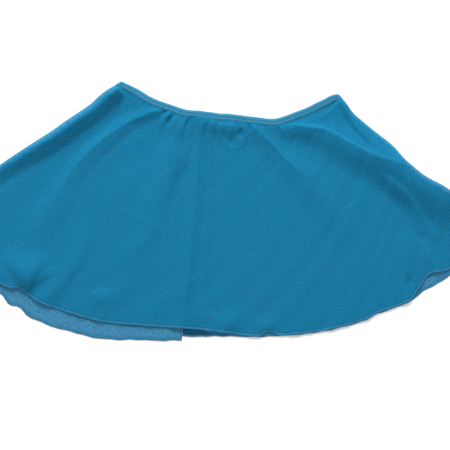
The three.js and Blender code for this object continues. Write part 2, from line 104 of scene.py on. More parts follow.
@dataclass(frozen=True)
class Curve:
    """A smooth line through points that never overshoots them."""

    xs: np.ndarray
    ys: np.ndarray

    def slopes(self) -> np.ndarray:
        """Work out the slope at each point.

        Returns:
            One slope for each point, level where the line turns.
        """
        secants = np.diff(self.ys) / np.diff(self.xs)
        product = secants[:-1] * secants[1:]
        total = np.where(product > 0, secants[:-1] + secants[1:], 1.0)
        inner = np.where(product > 0, 2 * product / total, 0.0)
        return np.concatenate([secants[:1], inner, secants[-1:]])

    def __call__(self, value: Number) -> np.ndarray:
        """Read the line.

        Args:
            value: Where to read it, held within the first and last point.

        Returns:
            The line's height at each value.
        """
        x = np.clip(value, self.xs[0], self.xs[-1])
        index = np.clip(np.searchsorted(self.xs, x, side="right") - 1, 0, len(self.xs) - 2)
        span = self.xs[index + 1] - self.xs[index]
        t = (x - self.xs[index]) / span
        slopes = self.slopes()
        start = (1 + 2 * t) * (1 - t) ** 2 * self.ys[index] + t * (1 - t) ** 2 * span * slopes[index]
        end = t * t * (3 - 2 * t) * self.ys[index + 1] - t * t * (1 - t) * span * slopes[index + 1]
        return start + end


def curves(names: str, rows: list[list[float]]) -> SimpleNamespace:
    """Make one curve of each column of a table but the first.

    Args:
        names: The columns' names; the first is what the curves are read by.
        rows: The table's rows.

    Returns:
        The curves under their columns' names.
    """
    keys = names.split()
    columns = np.array(rows, dtype=float).T
    return SimpleNamespace(
        start=columns[0][0],
        end=columns[0][-1],
        **{key: Curve(columns[0], column) for key, column in zip(keys[1:], columns[1:])},
    )


def lerp(start: Number, end: Number, share: Number) -> Number:
    """Go a share of the way from start to end."""
    return start + (end - start) * share


def smooth_step(low: float, high: float, value: Number) -> np.ndarray:
    """Rise smoothly from 0 at low to 1 at high."""
    share = np.clip((value - low) / (high - low), 0.0, 1.0)
    return share * share * (3 - 2 * share)


def crest(offset: np.ndarray, rise: Number, fall: Number) -> np.ndarray:
    """Shape a fold: 1 at its crest, 0 at its foot on either side.

    Args:
        offset: How far past the crest each place lies.
        rise: The fold's width before the crest.
        fall: Its width after the crest.

    Returns:
        The share of the fold's height at each place.
    """
    share = np.minimum(np.abs(offset) / np.where(offset < 0, rise, fall), 1.0)
    return (1 + np.cos(np.pi * share)) / 2


def bank(offset: np.ndarray, rise: Number, fall: Number) -> np.ndarray:
    """Shape a fold with an even slope on either side of its crest.

    Args:
        offset: How far past the crest each place lies.
        rise: The fold's width before the crest.
        fall: Its width after the crest.

    Returns:
        The share of the fold's height at each place.
    """
    top, foot = 0.14, 0.22
    share = np.minimum(np.abs(offset) / np.where(offset < 0, rise, fall), 1.0)
    slope = 1 / (1 - top / 2 - foot / 2)
    middle = slope * (share - top / 2)
    drop = np.where(share < top, slope * share**2 / (2 * top), middle)
    return 1 - np.where(share > 1 - foot, 1 - slope * (1 - share) ** 2 / (2 * foot), drop)


def arc(start: np.ndarray, end: np.ndarray, radius: np.ndarray) -> np.ndarray:
    """Measure the ring at this radius from one angle to another."""
    return (end - start) * DEGREE * radius


def angle_of(length: Number, radius: np.ndarray) -> np.ndarray:
    """Give the angle that a length of the ring takes up at this radius."""
    return length / radius / DEGREE


def flat_place(angle: np.ndarray, radius: np.ndarray) -> np.ndarray:
    """Turn polar places into flat ones about the centre of the cut."""
    return np.stack([-radius * np.cos(angle * DEGREE), -radius * np.sin(angle * DEGREE)], axis=-1)


# The laid skirt's tables, as in the part's source

SECTION = curves("angle waist front_hem back_hem", [
    [32.3, 159.5, 425, 427],
    [36.0, 153.5, 424.5, 428],
    [40.0, 148.6, 424, 429.5],
    [44.0, 145.8, 423.5, 430],
    [48.0, 142.6, 422, 429],
    [50.2, 140.6, 418.5, 429],
    [52.4, 138.6, 411, 432.2],
    [53.8, 137.6, 411, 427.6],
    [55.5, 136.3, 410.4, 430],
    [58.5, 134.6, 406.2, 427],
    [62.0, 132.8, 400.8, 421],
    [65.0, 130.6, 397, 416.6],
    [68.0, 127.9, 392, 411.4],
    [72.0, 125.9, 384.4, 401.6],
    [76.0, 124.5, 379, 394.6],
    [80.0, 123.9, 375, 388.6],
    [84.0, 122.8, 373.6, 381.6],
    [88.0, 123.3, 375.4, 378.6],
    [92.0, 124.5, 378.6, 379.0],
    [93.8, 125.2, 379.4, 379.6],
    [94.7, 125.6, 374.8, 379.8],
    [95.6, 126.0, 375.6, 380.0],
    [96.5, 126.4, 379.6, 380.2],
    [100.0, 128.5, 382.0, 382.4],
    [104.0, 131.7, 384.0, 384.4],
    [108.0, 134.3, 386.0, 386.4],
    [112.0, 135.1, 387.2, 387.6],
    [114.0, 135.4, 386.0, 386.4],
    [117.0, 135.9, 388.0, 388.4],
    [120.0, 136.9, 390.6, 391.2],
    [122.4, 138.0, 384.4, 388.8],
    [125.5, 139.3, 377, 390.6],
    [128.5, 140.5, 386, 391.6],
    [132.0, 142.9, 390, 391.8],
    [136.0, 145.8, 391, 391.8],
    [140.0, 153.6, 391.6, 391.6],
])

SIDES = curves("radius left left_wide left_high left_fall right right_wide right_high right_fall", [
    [151, 31.9, 3.6, 4.0, 13, 138.8, 3.0, 1.4, 54],
    [164, 31.9, 5.6, 6.8, 14, 138.1, 3.5, 3.4, 36],
    [178, 31.9, 7.4, 8.4, 16, 137.2, 4.2, 4.2, 34],
    [205, 33.0, 7.2, 8.6, 18, 137.5, 4.5, 5.4, 36],
    [235, 33.1, 7.2, 9.0, 19, 138.0, 4.5, 6.2, 38],
    [258, 33.3, 7.2, 9.0, 20, 137.5, 4.5, 6.8, 40],
    [282, 33.2, 7.0, 8.2, 20, 137.7, 4.6, 8.6, 42],
    [312, 33.2, 6.2, 6.0, 18, 138.9, 5.0, 9.6, 44],
    [345, 33.3, 5.4, 4.2, 17, 139.6, 4.6, 7.8, 42],
    [390, 33.3, 4.0, 2.6, 16, 139.9, 3.6, 3.8, 30],
    [428, 33.2, 3.0, 1.8, 14, 140.0, 3.0, 2.0, 14],
])

SEAM = curves("radius angle", [
    [133, 71.5],
    [152, 72.8],
    [190, 75.4],
    [227, 77.5],
    [260, 78.2],
    [308, 79.0],
    [352, 79.6],
    [390, 80.2],
])
SEAM_FOOT = 80.2

FOLD_COLUMNS = "radius angle high rise fall"

# Folds of the front layer, from left to right; rise is the side towards the left
FOLDS = [
    curves(FOLD_COLUMNS, [
        [144, 51.5, 1.0, 8, 7],
        [158, 49.8, 1.9, 12, 10],
        [184, 45.8, 2.7, 14, 15],
        [207, 44.6, 2.9, 13, 17],
        [235, 44.0, 2.8, 13, 19],
        [270, 44.8, 2.4, 15, 22],
        [310, 46.6, 2.0, 20, 26],
        [360, 48.0, 1.6, 26, 28],
        [425, 49.0, 1.0, 26, 28],
    ]),
    curves(FOLD_COLUMNS, [
        [360, 51.6, 0, 16, 12],
        [392, 51.2, 0.6, 14, 13],
        [426, 50.9, 1.0, 12, 15],
    ]),
    curves(FOLD_COLUMNS, [
        [300, 56.6, 0, 20, 16],
        [350, 56.8, 1.6, 20, 16],
        [405, 56.6, 1.8, 18, 15],
    ]),
    curves(FOLD_COLUMNS, [
        [142, 61.0, 0.8, 12, 9],
        [164, 63.8, 2.4, 18, 12],
        [184, 66.2, 3.2, 24, 14],
        [215, 67.4, 3.0, 28, 16],
        [262, 67.6, 1.8, 30, 20],
        [330, 67.0, 0.8, 30, 24],
        [390, 66.4, 0, 30, 24],
    ]),
    curves(FOLD_COLUMNS, [
        [132, 96.0, 0.8, 9, 8],
        [150, 100.0, 1.6, 18, 15],
        [170, 104.6, 2.6, 25, 21],
        [196, 109.2, 3.2, 30, 24],
        [216, 111.6, 2.8, 32, 28],
        [250, 114.0, 1.8, 30, 26],
        [300, 115.0, 0, 30, 26],
    ]),
    curves(FOLD_COLUMNS, [
        [138, 110.0, 0.4, 20, 58],
        [146, 113.0, 1.0, 24, 58],
        [154, 117.0, 1.8, 27, 54],
        [169, 122.8, 3.2, 30, 46],
        [196, 127.4, 5.4, 32, 39],
        [230, 131.0, 7.0, 34, 36],
        [262, 134.0, 6.6, 36, 38],
        [300, 134.6, 4.0, 38, 36],
        [345, 133.0, 1.2, 32, 30],
        [372, 132.0, 0, 30, 30],
    ]),
    curves(FOLD_COLUMNS, [
        [140, 112.0, 0.4, 6, 8],
        [152, 117.0, 0.7, 8, 12],
        [170, 124.6, 0.9, 9, 16],
        [187, 127.8, 0.9, 9, 17],
        [207, 130.2, 0.9, 9, 17],
        [228, 132.4, 0.9, 9, 16],
        [246, 134.6, 0.8, 9, 14],
        [272, 137.0, 0, 9, 12],
    ]),
    curves(FOLD_COLUMNS, [
        [330, 128.0, 0, 22, 12],
        [362, 127.4, 1.6, 20, 14],
        [392, 126.4, 1.7, 18, 16],
    ]),
]

# Broad gathers under the waistband: angle, height and how far each reaches outward
GATHERS = [
    (52.2, 1.0, 16), (56.4, 1.7, 20), (60.6, 0.9, 15), (64.6, 1.8, 24), (69.0, 0.7, 16),
    (73.0, 1.0, 26), (77.4, 0.7, 18), (81.6, 1.2, 30), (86.0, 1.6, 20), (92.4, 1.6, 30),
    (96.8, 1.3, 18), (100.8, 0.9, 24), (105.0, 0.7, 18), (109.0, 1.1, 20),
]

# Small hollows of the front layer: angle, radius, depth, half its width and half its length
POCKETS = [
    (54.4, 148.0, 1.5, 3.4, 7.0), (58.2, 152.0, 1.8, 3.8, 9.0), (65.6, 145.0, 1.7, 3.4, 9.0),
    (69.6, 141.0, 0.8, 2.4, 5.0), (75.0, 138.0, 0.7, 2.6, 5.0), (84.6, 139.5, 0.8, 2.8, 5.5),
    (90.4, 145.0, 2.0, 5.5, 8.5), (86.4, 155.0, 1.1, 4.0, 7.0), (95.0, 140.0, 1.0, 2.6, 6.0),
    (99.2, 143.0, 0.6, 2.6, 6.0), (107.4, 148.0, 1.0, 4.0, 6.0), (71.4, 172.0, 0.9, 4.0, 12.0),
    (59.0, 362.0, 1.1, 8.0, 24.0), (88.5, 368.0, 1.1, 5.5, 9.0), (94.6, 373.0, 1.2, 4.0, 6.0),
    (105.0, 376.0, 1.1, 9.0, 7.0), (121.8, 372.0, 1.2, 7.0, 9.0), (128.2, 338.0, 0.8, 7.0, 9.0),
]

# Waves along the front layer's hem: angle, height and half width
HEM_WAVES = [
    (61.5, 0.7, 13), (66.0, 1.0, 10), (73.5, 0.5, 15), (87.0, 0.6, 9), (92.4, 0.4, 8),
    (99.5, 0.4, 14), (106.5, 0.5, 12), (113.0, 0.4, 13), (119.5, 0.5, 11), (134.0, 0.6, 12),
]


@dataclass(frozen=True)
class Crease:
    """A narrow ridge or trough along a path, with its own width on either side."""

    path: tuple[tuple[float, float, float], ...]
    left: float
    right: float
    pieces: int = 28

    def height(self, angle: np.ndarray, radius: np.ndarray) -> np.ndarray:
        """Work out how much the crease lifts each place.

        Args:
            angle: The places' angles, in degrees.
            radius: Their radii, in millimetres.

        Returns:
            The lift at each place, in millimetres, below 0 in a trough.
        """
        rows = np.array(self.path, dtype=float)
        knots = np.linspace(0, 1, len(rows))
        shares = np.linspace(0, 1, self.pieces + 1)
        angles, radii, highs = (Curve(knots, column)(shares) for column in rows.T)
        path = flat_place(angles, radii)
        place = flat_place(angle, radius)
        nearest = np.full(angle.shape, np.inf)
        lift = np.zeros(angle.shape)
        for index in range(self.pieces):
            step = path[index + 1] - path[index]
            offset = place - path[index]
            share = np.clip(offset @ step / (step @ step), 0, 1)
            gap = offset - share[..., None] * step
            distance = np.hypot(gap[..., 0], gap[..., 1])
            turn = step[0] * offset[..., 1] - step[1] * offset[..., 0]
            signed = np.where(turn > 0, distance, -distance)
            high = lerp(highs[index], highs[index + 1], share)
            closer = distance < nearest
            nearest = np.where(closer, distance, nearest)
            lift = np.where(closer, high * crest(signed, self.left, self.right), lift)
        return lift


# Narrow creases of the front layer, each along its path of angle, radius and height
FRONT_CREASES = [
    Crease(((51.5, 146, 0.2), (50, 158, 0.7), (48, 169, 0.7), (46, 184, 0.6), (44.5, 207, 0.5),
            (43.8, 230, 0.5), (44.2, 265, 0.4), (46, 300, 0.3), (47.5, 345, 0.2), (48, 391, 0)),
           4.0, 4.0),
    Crease(((110.0, 143, 0.3), (112.0, 146, 1.0), (116.6, 152.6, 1.9), (120.8, 160.4, 2.3),
            (124.9, 170.4, 2.4), (127.3, 185.4, 2.2), (129.8, 206.4, 1.9), (132.0, 226.4, 1.7),
            (134.2, 244.4, 1.3), (136.2, 260, 0.7), (137.2, 273, 0)), 23.0, 3.0),
    Crease(((129.4, 240, 0), (130.2, 256, 1.4), (130.9, 271, 2.1), (131.4, 293, 2.3),
            (130.8, 315, 1.9), (130.2, 336, 0.9), (129.8, 356, 0)), 15.0, 8.0),
    Crease(((134.8, 153, -0.4), (134.0, 165, -2.0), (133.0, 180, -2.5), (132.5, 194, -2.4),
            (132.7, 210, -1.9), (133.4, 224, -1.0), (134.4, 236, 0)), 22.0, 6.5),
    Crease(((50.6, 407.5, 0.3), (50.9, 403, 3.4), (51.5, 397, 6.2), (52.4, 393.6, 6.4),
            (53.3, 392.8, 3.0), (54.1, 394.5, 0)), 26.0, 40.0),
    Crease(((62.6, 378, 0), (63.7, 371, 1.7), (64.8, 366.5, 2.0), (66.4, 363, 0)), 18.0, 12.0),
    Crease(((86.9, 367.5, 0), (87.8, 366.4, 1.9), (88.8, 366.4, 2.1), (89.9, 367.6, 0)), 7.5, 28.0),
    Crease(((92.6, 371.5, 0), (93.8, 370, 1.3), (95.4, 370, 1.4), (97.0, 372, 0)), 6.0, 22.0),
    Crease(((125.4, 318, 0), (124.6, 332, 1.3), (123.4, 346, 2.0), (122.4, 358, 1.9),
            (121.8, 368, 0.8)), 7.0, 22.0),
    Crease(((68.0, 134, 0), (72.0, 136, 0.6), (76.0, 137.6, 1.2), (80.0, 138.6, 1.7),
            (84.0, 138.8, 1.9), (88.4, 138.6, 1.4), (91.0, 140, 0)), 13.0, 7.5),
    Crease(((61.0, 146, 0), (64.0, 152, 1.0), (67.4, 163, 1.5), (69.8, 178, 1.5),
            (70.2, 194, 1.1), (68.8, 210, 0)), 15.0, 8.0),
    Crease(((96.5, 136, 0.3), (100, 150, 0.9), (103, 161, 1.0), (106, 178, 0.9), (109, 196, 0.6),
            (111, 209, 0)), 3.4, 4.4),
    Crease(((79, 137, 0.1), (81, 147, 0.35), (83.4, 155, 0.5), (86.4, 161.5, 0.45),
            (89.8, 161, 0.4), (92, 152, 0.3), (93.2, 143, 0.1)), 5.5, 4.5),
    Crease(((72.6, 150, 0.2), (74, 173, 0.6), (75.5, 196, 0.8), (77, 230, 0.8), (78, 265, 0.8),
            (78.8, 299, 0.8), (79.3, 334, 0.8), (79.6, 366, 0.3)), 2.4, 3.2),
    Crease(((100.8, 262, 0), (100.6, 286, 0.3), (100.3, 320, 0.35), (100.6, 352, 0.25),
            (100.8, 378, 0.1)), 3.0, 3.4),
    Crease(((55, 274, 0), (59, 271, 0.28), (64, 270, 0.35), (69, 271, 0.3), (74, 273, 0)), 3.2, 3.0),
    Crease(((112, 268, 0), (116, 264, 0.25), (121, 262, 0.3), (126, 264, 0)), 3.0, 3.4),
]

# Creases of the back layer, where only a lift is possible
BACK_CREASES = [
    Crease(((41, 168, 0.2), (42, 196, 0.6), (43, 236, 0.7), (45, 292, 0.4), (46, 348, 0)), 7, 9),
    Crease(((52, 152, 0.3), (53, 178, 0.7), (55.5, 214, 0.6), (58, 262, 0.25), (60, 300, 0)), 6, 8),
    Crease(((62, 146, 0.2), (64, 166, 0.6), (64.5, 196, 0.4), (64, 232, 0)), 6, 6),
    Crease(((57, 330, 0), (58.5, 362, 0.5), (59, 392, 0.6), (59.4, 420, 0.4)), 9, 7),
    Crease(((70, 330, 0), (69.2, 356, 0.35), (69, 388, 0.5)), 6, 8),
    Crease(((88, 140, 0.2), (90, 164, 0.7), (91, 200, 0.5), (90, 252, 0.2), (89, 290, 0)), 8, 6),
    Crease(((103, 146, 0.3), (106, 172, 0.7), (110, 210, 0.7), (113, 262, 0.4), (114, 318, 0)), 9, 7),
    Crease(((119, 152, 0.2), (123, 182, 0.6), (126, 232, 0.6), (127, 286, 0.3), (127, 330, 0)), 7, 9),
    Crease(((98, 318, 0), (97, 344, 0.4), (96.4, 374, 0.5)), 8, 7),
    Crease(((116, 322, 0), (117, 350, 0.45), (117.4, 380, 0.5)), 7, 9),
]


@dataclass(frozen=True)
class Ripples:
    """Small uneven waves over the cloth, longer outward than across."""

    seed: int
    count: int
    shortest: float
    longest: float
    stretch: float = 2.4

    def height(self, across: np.ndarray, outward: np.ndarray) -> np.ndarray:
        """Sum the waves.

        Args:
            across: Places along the ring, in millimetres.
            outward: Places along the radius, in millimetres.

        Returns:
            A height from about -1 to 1 at each place.
        """
        random = np.random.RandomState(self.seed)
        total = np.zeros(np.broadcast(across, outward).shape)
        for _ in range(self.count):
            length = lerp(self.shortest, self.longest, random.rand())
            lean = (random.rand() - 0.5) * 1.4
            phase = random.rand() * 2 * math.pi
            turn = 2 * math.pi / length
            place = across * math.cos(lean) + outward * math.sin(lean) / self.stretch
            total += np.sin(turn * place + phase)
        return total / math.sqrt(self.count) / 1.3


# The whole form

@dataclass(frozen=True)
class LaidForm:
    """The laid-out skirt: where each edge, level and fold of its cloth lies."""

    centre: tuple[float, float] = (28.315, 233.892)
    band_height: float = 8.8
    hem_width: float = 3.0
    front_level: float = 1.5
    lowest_front: float = 1.15
    back_level: float = 0.3
    band_level: float = 3.8
    back_band_level: float = 1.0
    hem_level: float = 1.3
    lapped_hem_level: float = 1.45
    lap: tuple[float, float] = (3.0, 7.0)
    back_hem_level: float = 0.55
    allowance_lift: float = 1.3
    waist_ramp: float = 32.0
    hem_ramp: float = 16.0
    hem_step: float = 5.2
    hem_step_fade: float = 2.5
    hem_waver: float = 0.7
    hem_radius: float = 400.0
    allowance_width_at_waist: float = 10.0
    allowance_width_at_hem: float = 34.0
    allowance_flare: float = 12.0
    allowance_end: float = 380.0
    allowance_ramp: tuple[float, float] = (2.9, 1.5)
    ramp_ahead: float = 20.0
    gather_half_width: float = 5.2
    pucker_count: int = 66
    pucker_seed: int = 11
    hem_wave_reach: float = 34.0
    roll_start: float = 5.0
    roll_inset: float = 9.0
    fold_start: float = 16.0
    swell: float = 7.0
    side_inset: float = 0.35
    roll_foot: float = 0.3
    roll_foot_base: float = 1.5
    least_foot_width: float = 0.4
    left_bank_share: float = 0.9
    broad_ripple: float = 0.22
    small_ripple: float = 0.07
    ripple_ramp: float = 25.0
    hem_flutter: float = 0.3
    flutter_ramp: float = 14.0
    back_waist_ramp: float = 12.0
    back_hem_ramp: float = 9.0
    back_crease_ramp: float = 10.0
    back_pucker_share: float = 0.35
    back_pucker_ramp: float = 3.0
    side_fade: float = 6.0

    def placed(self, angle: np.ndarray, radius: np.ndarray, height: np.ndarray) -> np.ndarray:
        """Turn polar places into points of the part's frame.

        Args:
            angle: Angles in degrees.
            radius: Radii in millimetres.
            height: Heights over the floor in millimetres.

        Returns:
            The points in metres, with x, y and z along the last axis.
        """
        x = self.centre[0] - radius * np.cos(angle * DEGREE)
        y = self.centre[1] - radius * np.sin(angle * DEGREE)
        return np.stack(np.broadcast_arrays(x, y, height), axis=-1) * MM

    def band_end(self, angle: np.ndarray) -> np.ndarray:
        """Give the radius of the waistband's lower edge."""
        return SECTION.waist(angle) + self.band_height

    def back_hem(self, angle: np.ndarray, is_left: bool) -> np.ndarray:
        """Give the radius of the back layer's hem, which steps in at the seam.

        Args:
            angle: Where to read it.
            is_left: Whether this is the cloth to the left of the seam.

        Returns:
            The hem's outer edge.
        """
        past_seam = np.maximum(angle - SEAM_FOOT, 0)
        step = 0 if is_left else self.hem_step * np.exp(-past_seam / self.hem_step_fade)
        across = arc(SECTION.start, angle, self.hem_radius)
        waver = Ripples(seed=15, count=8, shortest=14, longest=38).height(across, 0.0)
        return SECTION.back_hem(angle) - step + self.hem_waver * waver

    def allowance_width(self, radius: np.ndarray) -> np.ndarray:
        """Give the seam allowance's width at this radius."""
        flare = smooth_step(self.allowance_end - self.allowance_flare, self.allowance_end, radius)
        return lerp(self.allowance_width_at_waist, self.allowance_width_at_hem, flare)

    def over_allowance(self, angle: np.ndarray, radius: np.ndarray) -> np.ndarray:
        """Say how far each place of the front layer lies over the seam allowance.

        Args:
            angle: The places' angles.
            radius: Their radii.

        Returns:
            A share from 0 beside the allowance to 1 over it.
        """
        from_seam = angle - SEAM.angle(radius)
        width = angle_of(self.allowance_width(radius + self.ramp_ahead), radius)
        start, end = self.allowance_ramp
        begins = smooth_step(-start, -end, from_seam)
        return begins * (1 - smooth_step(width + end, width + start, from_seam))

    def rest_level(self, angle: np.ndarray, radius: np.ndarray) -> np.ndarray:
        """Give the front layer's level before its folds.

        Args:
            angle: The places' angles.
            radius: Their radii.

        Returns:
            The level in millimetres.
        """
        from_band = radius - self.band_end(angle)
        to_hem = SECTION.front_hem(angle) - radius
        waist_fade = 1 - smooth_step(0, self.waist_ramp, from_band)
        waist_lift = (self.band_level - self.front_level) * waist_fade
        gap = SECTION.back_hem(angle) - SECTION.front_hem(angle)
        at_hem = lerp(self.lapped_hem_level, self.hem_level, smooth_step(*self.lap, gap))
        hem_lift = (at_hem - self.front_level) * (1 - smooth_step(self.hem_width, self.hem_ramp, to_hem))
        lift = self.allowance_lift * self.over_allowance(angle, radius)
        return self.front_level + waist_lift + hem_lift + lift

    def folds(self, angle: np.ndarray, radius: np.ndarray) -> np.ndarray:
        """Sum the large folds that run outward from the waist or up from the hem.

        Args:
            angle: The places' angles.
            radius: Their radii.

        Returns:
            A lift in millimetres at each place.
        """
        total = np.zeros(angle.shape)
        for fold in FOLDS:
            fade = smooth_step(fold.start - self.fold_start, fold.start, radius)
            fade = fade * smooth_step(-1, self.swell, radius - self.band_end(angle))
            offset = arc(fold.angle(radius), angle, radius)
            total += fade * fold.high(radius) * crest(offset, fold.rise(radius), fold.fall(radius))
        return total

    def gathers(self, angle: np.ndarray, radius: np.ndarray) -> np.ndarray:
        """Sum the broad gathers under the waistband.

        Args:
            angle: The places' angles.
            radius: Their radii.

        Returns:
            A lift in millimetres at each place.
        """
        outward = np.maximum(radius - self.band_end(angle), 0)
        total = np.zeros(angle.shape)
        for at, high, reach in GATHERS:
            offset = arc(at, angle, radius)
            fade = smooth_step(-2, 5, outward) * np.exp(-((outward / (0.75 * reach)) ** 2))
            total += high * fade * crest(offset, self.gather_half_width, self.gather_half_width)
        return total

    def puckers(self, angle: np.ndarray, radius: np.ndarray, seed: int) -> np.ndarray:
        """Sum the fine puckers that the elastic draws into the cloth.

        Args:
            angle: The places' angles.
            radius: Their radii.
            seed: Which set of puckers, one for each layer.

        Returns:
            A lift in millimetres at each place.
        """
        random = np.random.RandomState(self.pucker_seed + seed)
        outward = np.maximum(radius - self.band_end(angle), 0)
        first, last = SECTION.start + 2, SECTION.end - 3
        total = np.zeros(angle.shape)
        for index in range(self.pucker_count):
            at = lerp(first, last, (index + 0.2 + 0.6 * random.rand()) / self.pucker_count)
            high = lerp(0.1, 0.5, random.rand() ** 1.8)
            reach = lerp(5, 17, random.rand() ** 2)
            wide = lerp(1.5, 2.6, random.rand())
            lean = (random.rand() - 0.5) * 0.16
            offset = arc(at, angle, radius) + lean * outward
            spread = wide * (1 + outward / 30)
            total += high * np.exp(-((outward / reach) ** 1.6)) * crest(offset, spread, spread)
        return total

    def pockets(self, angle: np.ndarray, radius: np.ndarray) -> np.ndarray:
        """Sum the small hollows under the waistband and near the hem.

        Args:
            angle: The places' angles.
            radius: Their radii.

        Returns:
            A lift in millimetres at each place.
        """
        total = np.zeros(angle.shape)
        for at, out, deep, half_width, half_length in POCKETS:
            across = arc(at, angle, radius) / half_width
            along = (radius - out) / half_length
            total -= deep * (1 + np.cos(np.pi * np.minimum(np.hypot(across, along), 1.0))) / 2
        return total

    def hem_waves(self, angle: np.ndarray, radius: np.ndarray) -> np.ndarray:
        """Sum the waves along the front layer's hem.

        Args:
            angle: The places' angles.
            radius: Their radii.

        Returns:
            A lift in millimetres at each place.
        """
        fade = 1 - smooth_step(0, self.hem_wave_reach, SECTION.front_hem(angle) - radius)
        total = np.zeros(angle.shape)
        for at, high, half_width in HEM_WAVES:
            total += high * fade * crest(arc(at, angle, radius), half_width, half_width)
        return total

    def roll_wide(self, side: Side, radius: np.ndarray) -> np.ndarray:
        """Give the width of a side roll from its outline to its crest."""
        return SIDES.left_wide(radius) if side is Side.LEFT else SIDES.right_wide(radius)

    def roll_high(self, side: Side, radius: np.ndarray) -> np.ndarray:
        """Give a side roll's height, which comes up from nothing at the waistband."""
        high = SIDES.left_high(radius) if side is Side.LEFT else SIDES.right_high(radius)
        inside = self.outline(side, radius) - side.value * angle_of(self.roll_inset, radius)
        return high * smooth_step(0, self.roll_start, radius - self.band_end(inside))

    def outline(self, side: Side, radius: np.ndarray) -> np.ndarray:
        """Give the angle of the side fold's outer face."""
        return SIDES.left(radius) if side is Side.LEFT else SIDES.right(radius)

    def crest_angle(self, side: Side, radius: np.ndarray) -> np.ndarray:
        """Give the angle of the side roll's crest."""
        inward = angle_of(self.side_inset + self.roll_wide(side, radius), radius)
        return self.outline(side, radius) - side.value * inward

    def roll_belly(self, side: Side, radius: np.ndarray) -> np.ndarray:
        """Give the height at which a side roll stands out furthest."""
        return self.back_level + self.roll_foot * (self.roll_high(side, radius) + self.roll_foot_base)

    def foot_width(self, side: Side, radius: np.ndarray) -> np.ndarray:
        """Give how far inward a side roll's underside curves before it lies on the floor."""
        return 2 * (self.roll_belly(side, radius) - self.back_level) + self.least_foot_width

    def foot_angle(self, side: Side, radius: np.ndarray) -> np.ndarray:
        """Give the angle where a side roll's underside meets the floor."""
        inward = angle_of(self.side_inset + self.foot_width(side, radius), radius)
        return self.outline(side, radius) - side.value * inward

    def side_ridges(self, angle: np.ndarray, radius: np.ndarray) -> np.ndarray:
        """Sum the slopes that the two side rolls leave on the inner side of their crests.

        Args:
            angle: The places' angles.
            radius: Their radii.

        Returns:
            A lift in millimetres at each place.
        """
        from_left = arc(self.crest_angle(Side.LEFT, radius), angle, radius)
        from_right = arc(angle, self.crest_angle(Side.RIGHT, radius), radius)
        left = bank(from_left, SIDES.left_wide(radius), self.left_bank_share * SIDES.left_fall(radius))
        right = crest(from_right, SIDES.right_wide(radius), SIDES.right_fall(radius))
        return left * self.roll_high(Side.LEFT, radius) + right * self.roll_high(Side.RIGHT, radius)

    def front_height(self, angle: np.ndarray, radius: np.ndarray) -> np.ndarray:
        """Give the front layer's height with all its folds.

        Args:
            angle: The places' angles.
            radius: Their radii.

        Returns:
            The height of the cloth's middle over the floor, in millimetres.
        """
        across = arc(SECTION.start, angle, radius)
        height = self.rest_level(angle, radius) + self.folds(angle, radius) + self.gathers(angle, radius)
        height = height + self.hem_waves(angle, radius) + self.side_ridges(angle, radius)
        height = height + self.puckers(angle, radius, 0) + self.pockets(angle, radius)
        for crease in FRONT_CREASES:
            height = height + crease.height(angle, radius)
        broad = Ripples(seed=3, count=14, shortest=22, longest=60).height(across, radius)
        small = Ripples(seed=5, count=18, shortest=8, longest=20).height(across, radius)
        from_band = smooth_step(0, self.ripple_ramp, radius - self.band_end(angle))
        at_hem = 1 - smooth_step(0, self.flutter_ramp, SECTION.front_hem(angle) - radius)
        flutter = Ripples(seed=9, count=10, shortest=9, longest=24).height(across, 0 * radius)
        ripples = self.broad_ripple * broad + self.small_ripple * small
        height = height + from_band * ripples + self.hem_flutter * at_hem * flutter
        return np.maximum(height, self.lowest_front)

    def back_height(self, angle: np.ndarray, radius: np.ndarray, is_left: bool) -> np.ndarray:
        """Give the back layer's height, which is flat on the floor but for soft lifted creases.

        Args:
            angle: The places' angles.
            radius: Their radii.
            is_left: Whether this is the cloth to the left of the seam.

        Returns:
            The height of the cloth's middle over the floor, in millimetres.
        """
        from_band = radius - self.band_end(angle)
        to_hem = self.back_hem(angle, is_left) - radius
        waist_fade = 1 - smooth_step(0, self.back_waist_ramp, from_band)
        waist_lift = (self.back_band_level - self.back_level) * waist_fade
        hem_fade = 1 - smooth_step(self.hem_width, self.back_hem_ramp, to_hem)
        hem_lift = (self.back_hem_level - self.back_level) * hem_fade
        lift = np.zeros(angle.shape)
        for crease in BACK_CREASES:
            lift = lift + crease.height(angle, radius)
        lift = np.maximum(lift, 0) * smooth_step(0, self.back_crease_ramp, from_band)
        lift = lift * (1 - self.over_allowance(angle, radius))
        puckers = self.back_pucker_share * self.puckers(angle, radius, 1)
        puckers = puckers * smooth_step(0, self.back_pucker_ramp, from_band)
        at_sides = smooth_step(0, self.side_fade, angle - self.foot_angle(Side.LEFT, radius))
        at_sides = at_sides * smooth_step(0, self.side_fade, self.foot_angle(Side.RIGHT, radius) - angle)
        return self.back_level + np.maximum(waist_lift, hem_lift) + at_sides * (lift + puckers)


# Meshes

def place_between(first: Line, second: Line, share: Number, line: Line) -> tuple[np.ndarray, np.ndarray]:
    """Find where a line round the skirt crosses a share of the way between two side lines.

    Args:
        first: The first side line, an angle for each radius.
        second: The second side line.
        share: How far from the first to the second.
        line: The line round the skirt, a radius for each angle.

    Returns:
        The angles and the radii of the crossings.
    """
    shape = np.broadcast(share, line(np.array(MIDDLE_ANGLE))).shape
    angle = np.full(shape, MIDDLE_ANGLE)
    for _ in range(PLACING_ROUNDS):
        radius = line(angle)
        angle = lerp(first(radius), second(radius), share)
    return angle, line(angle)


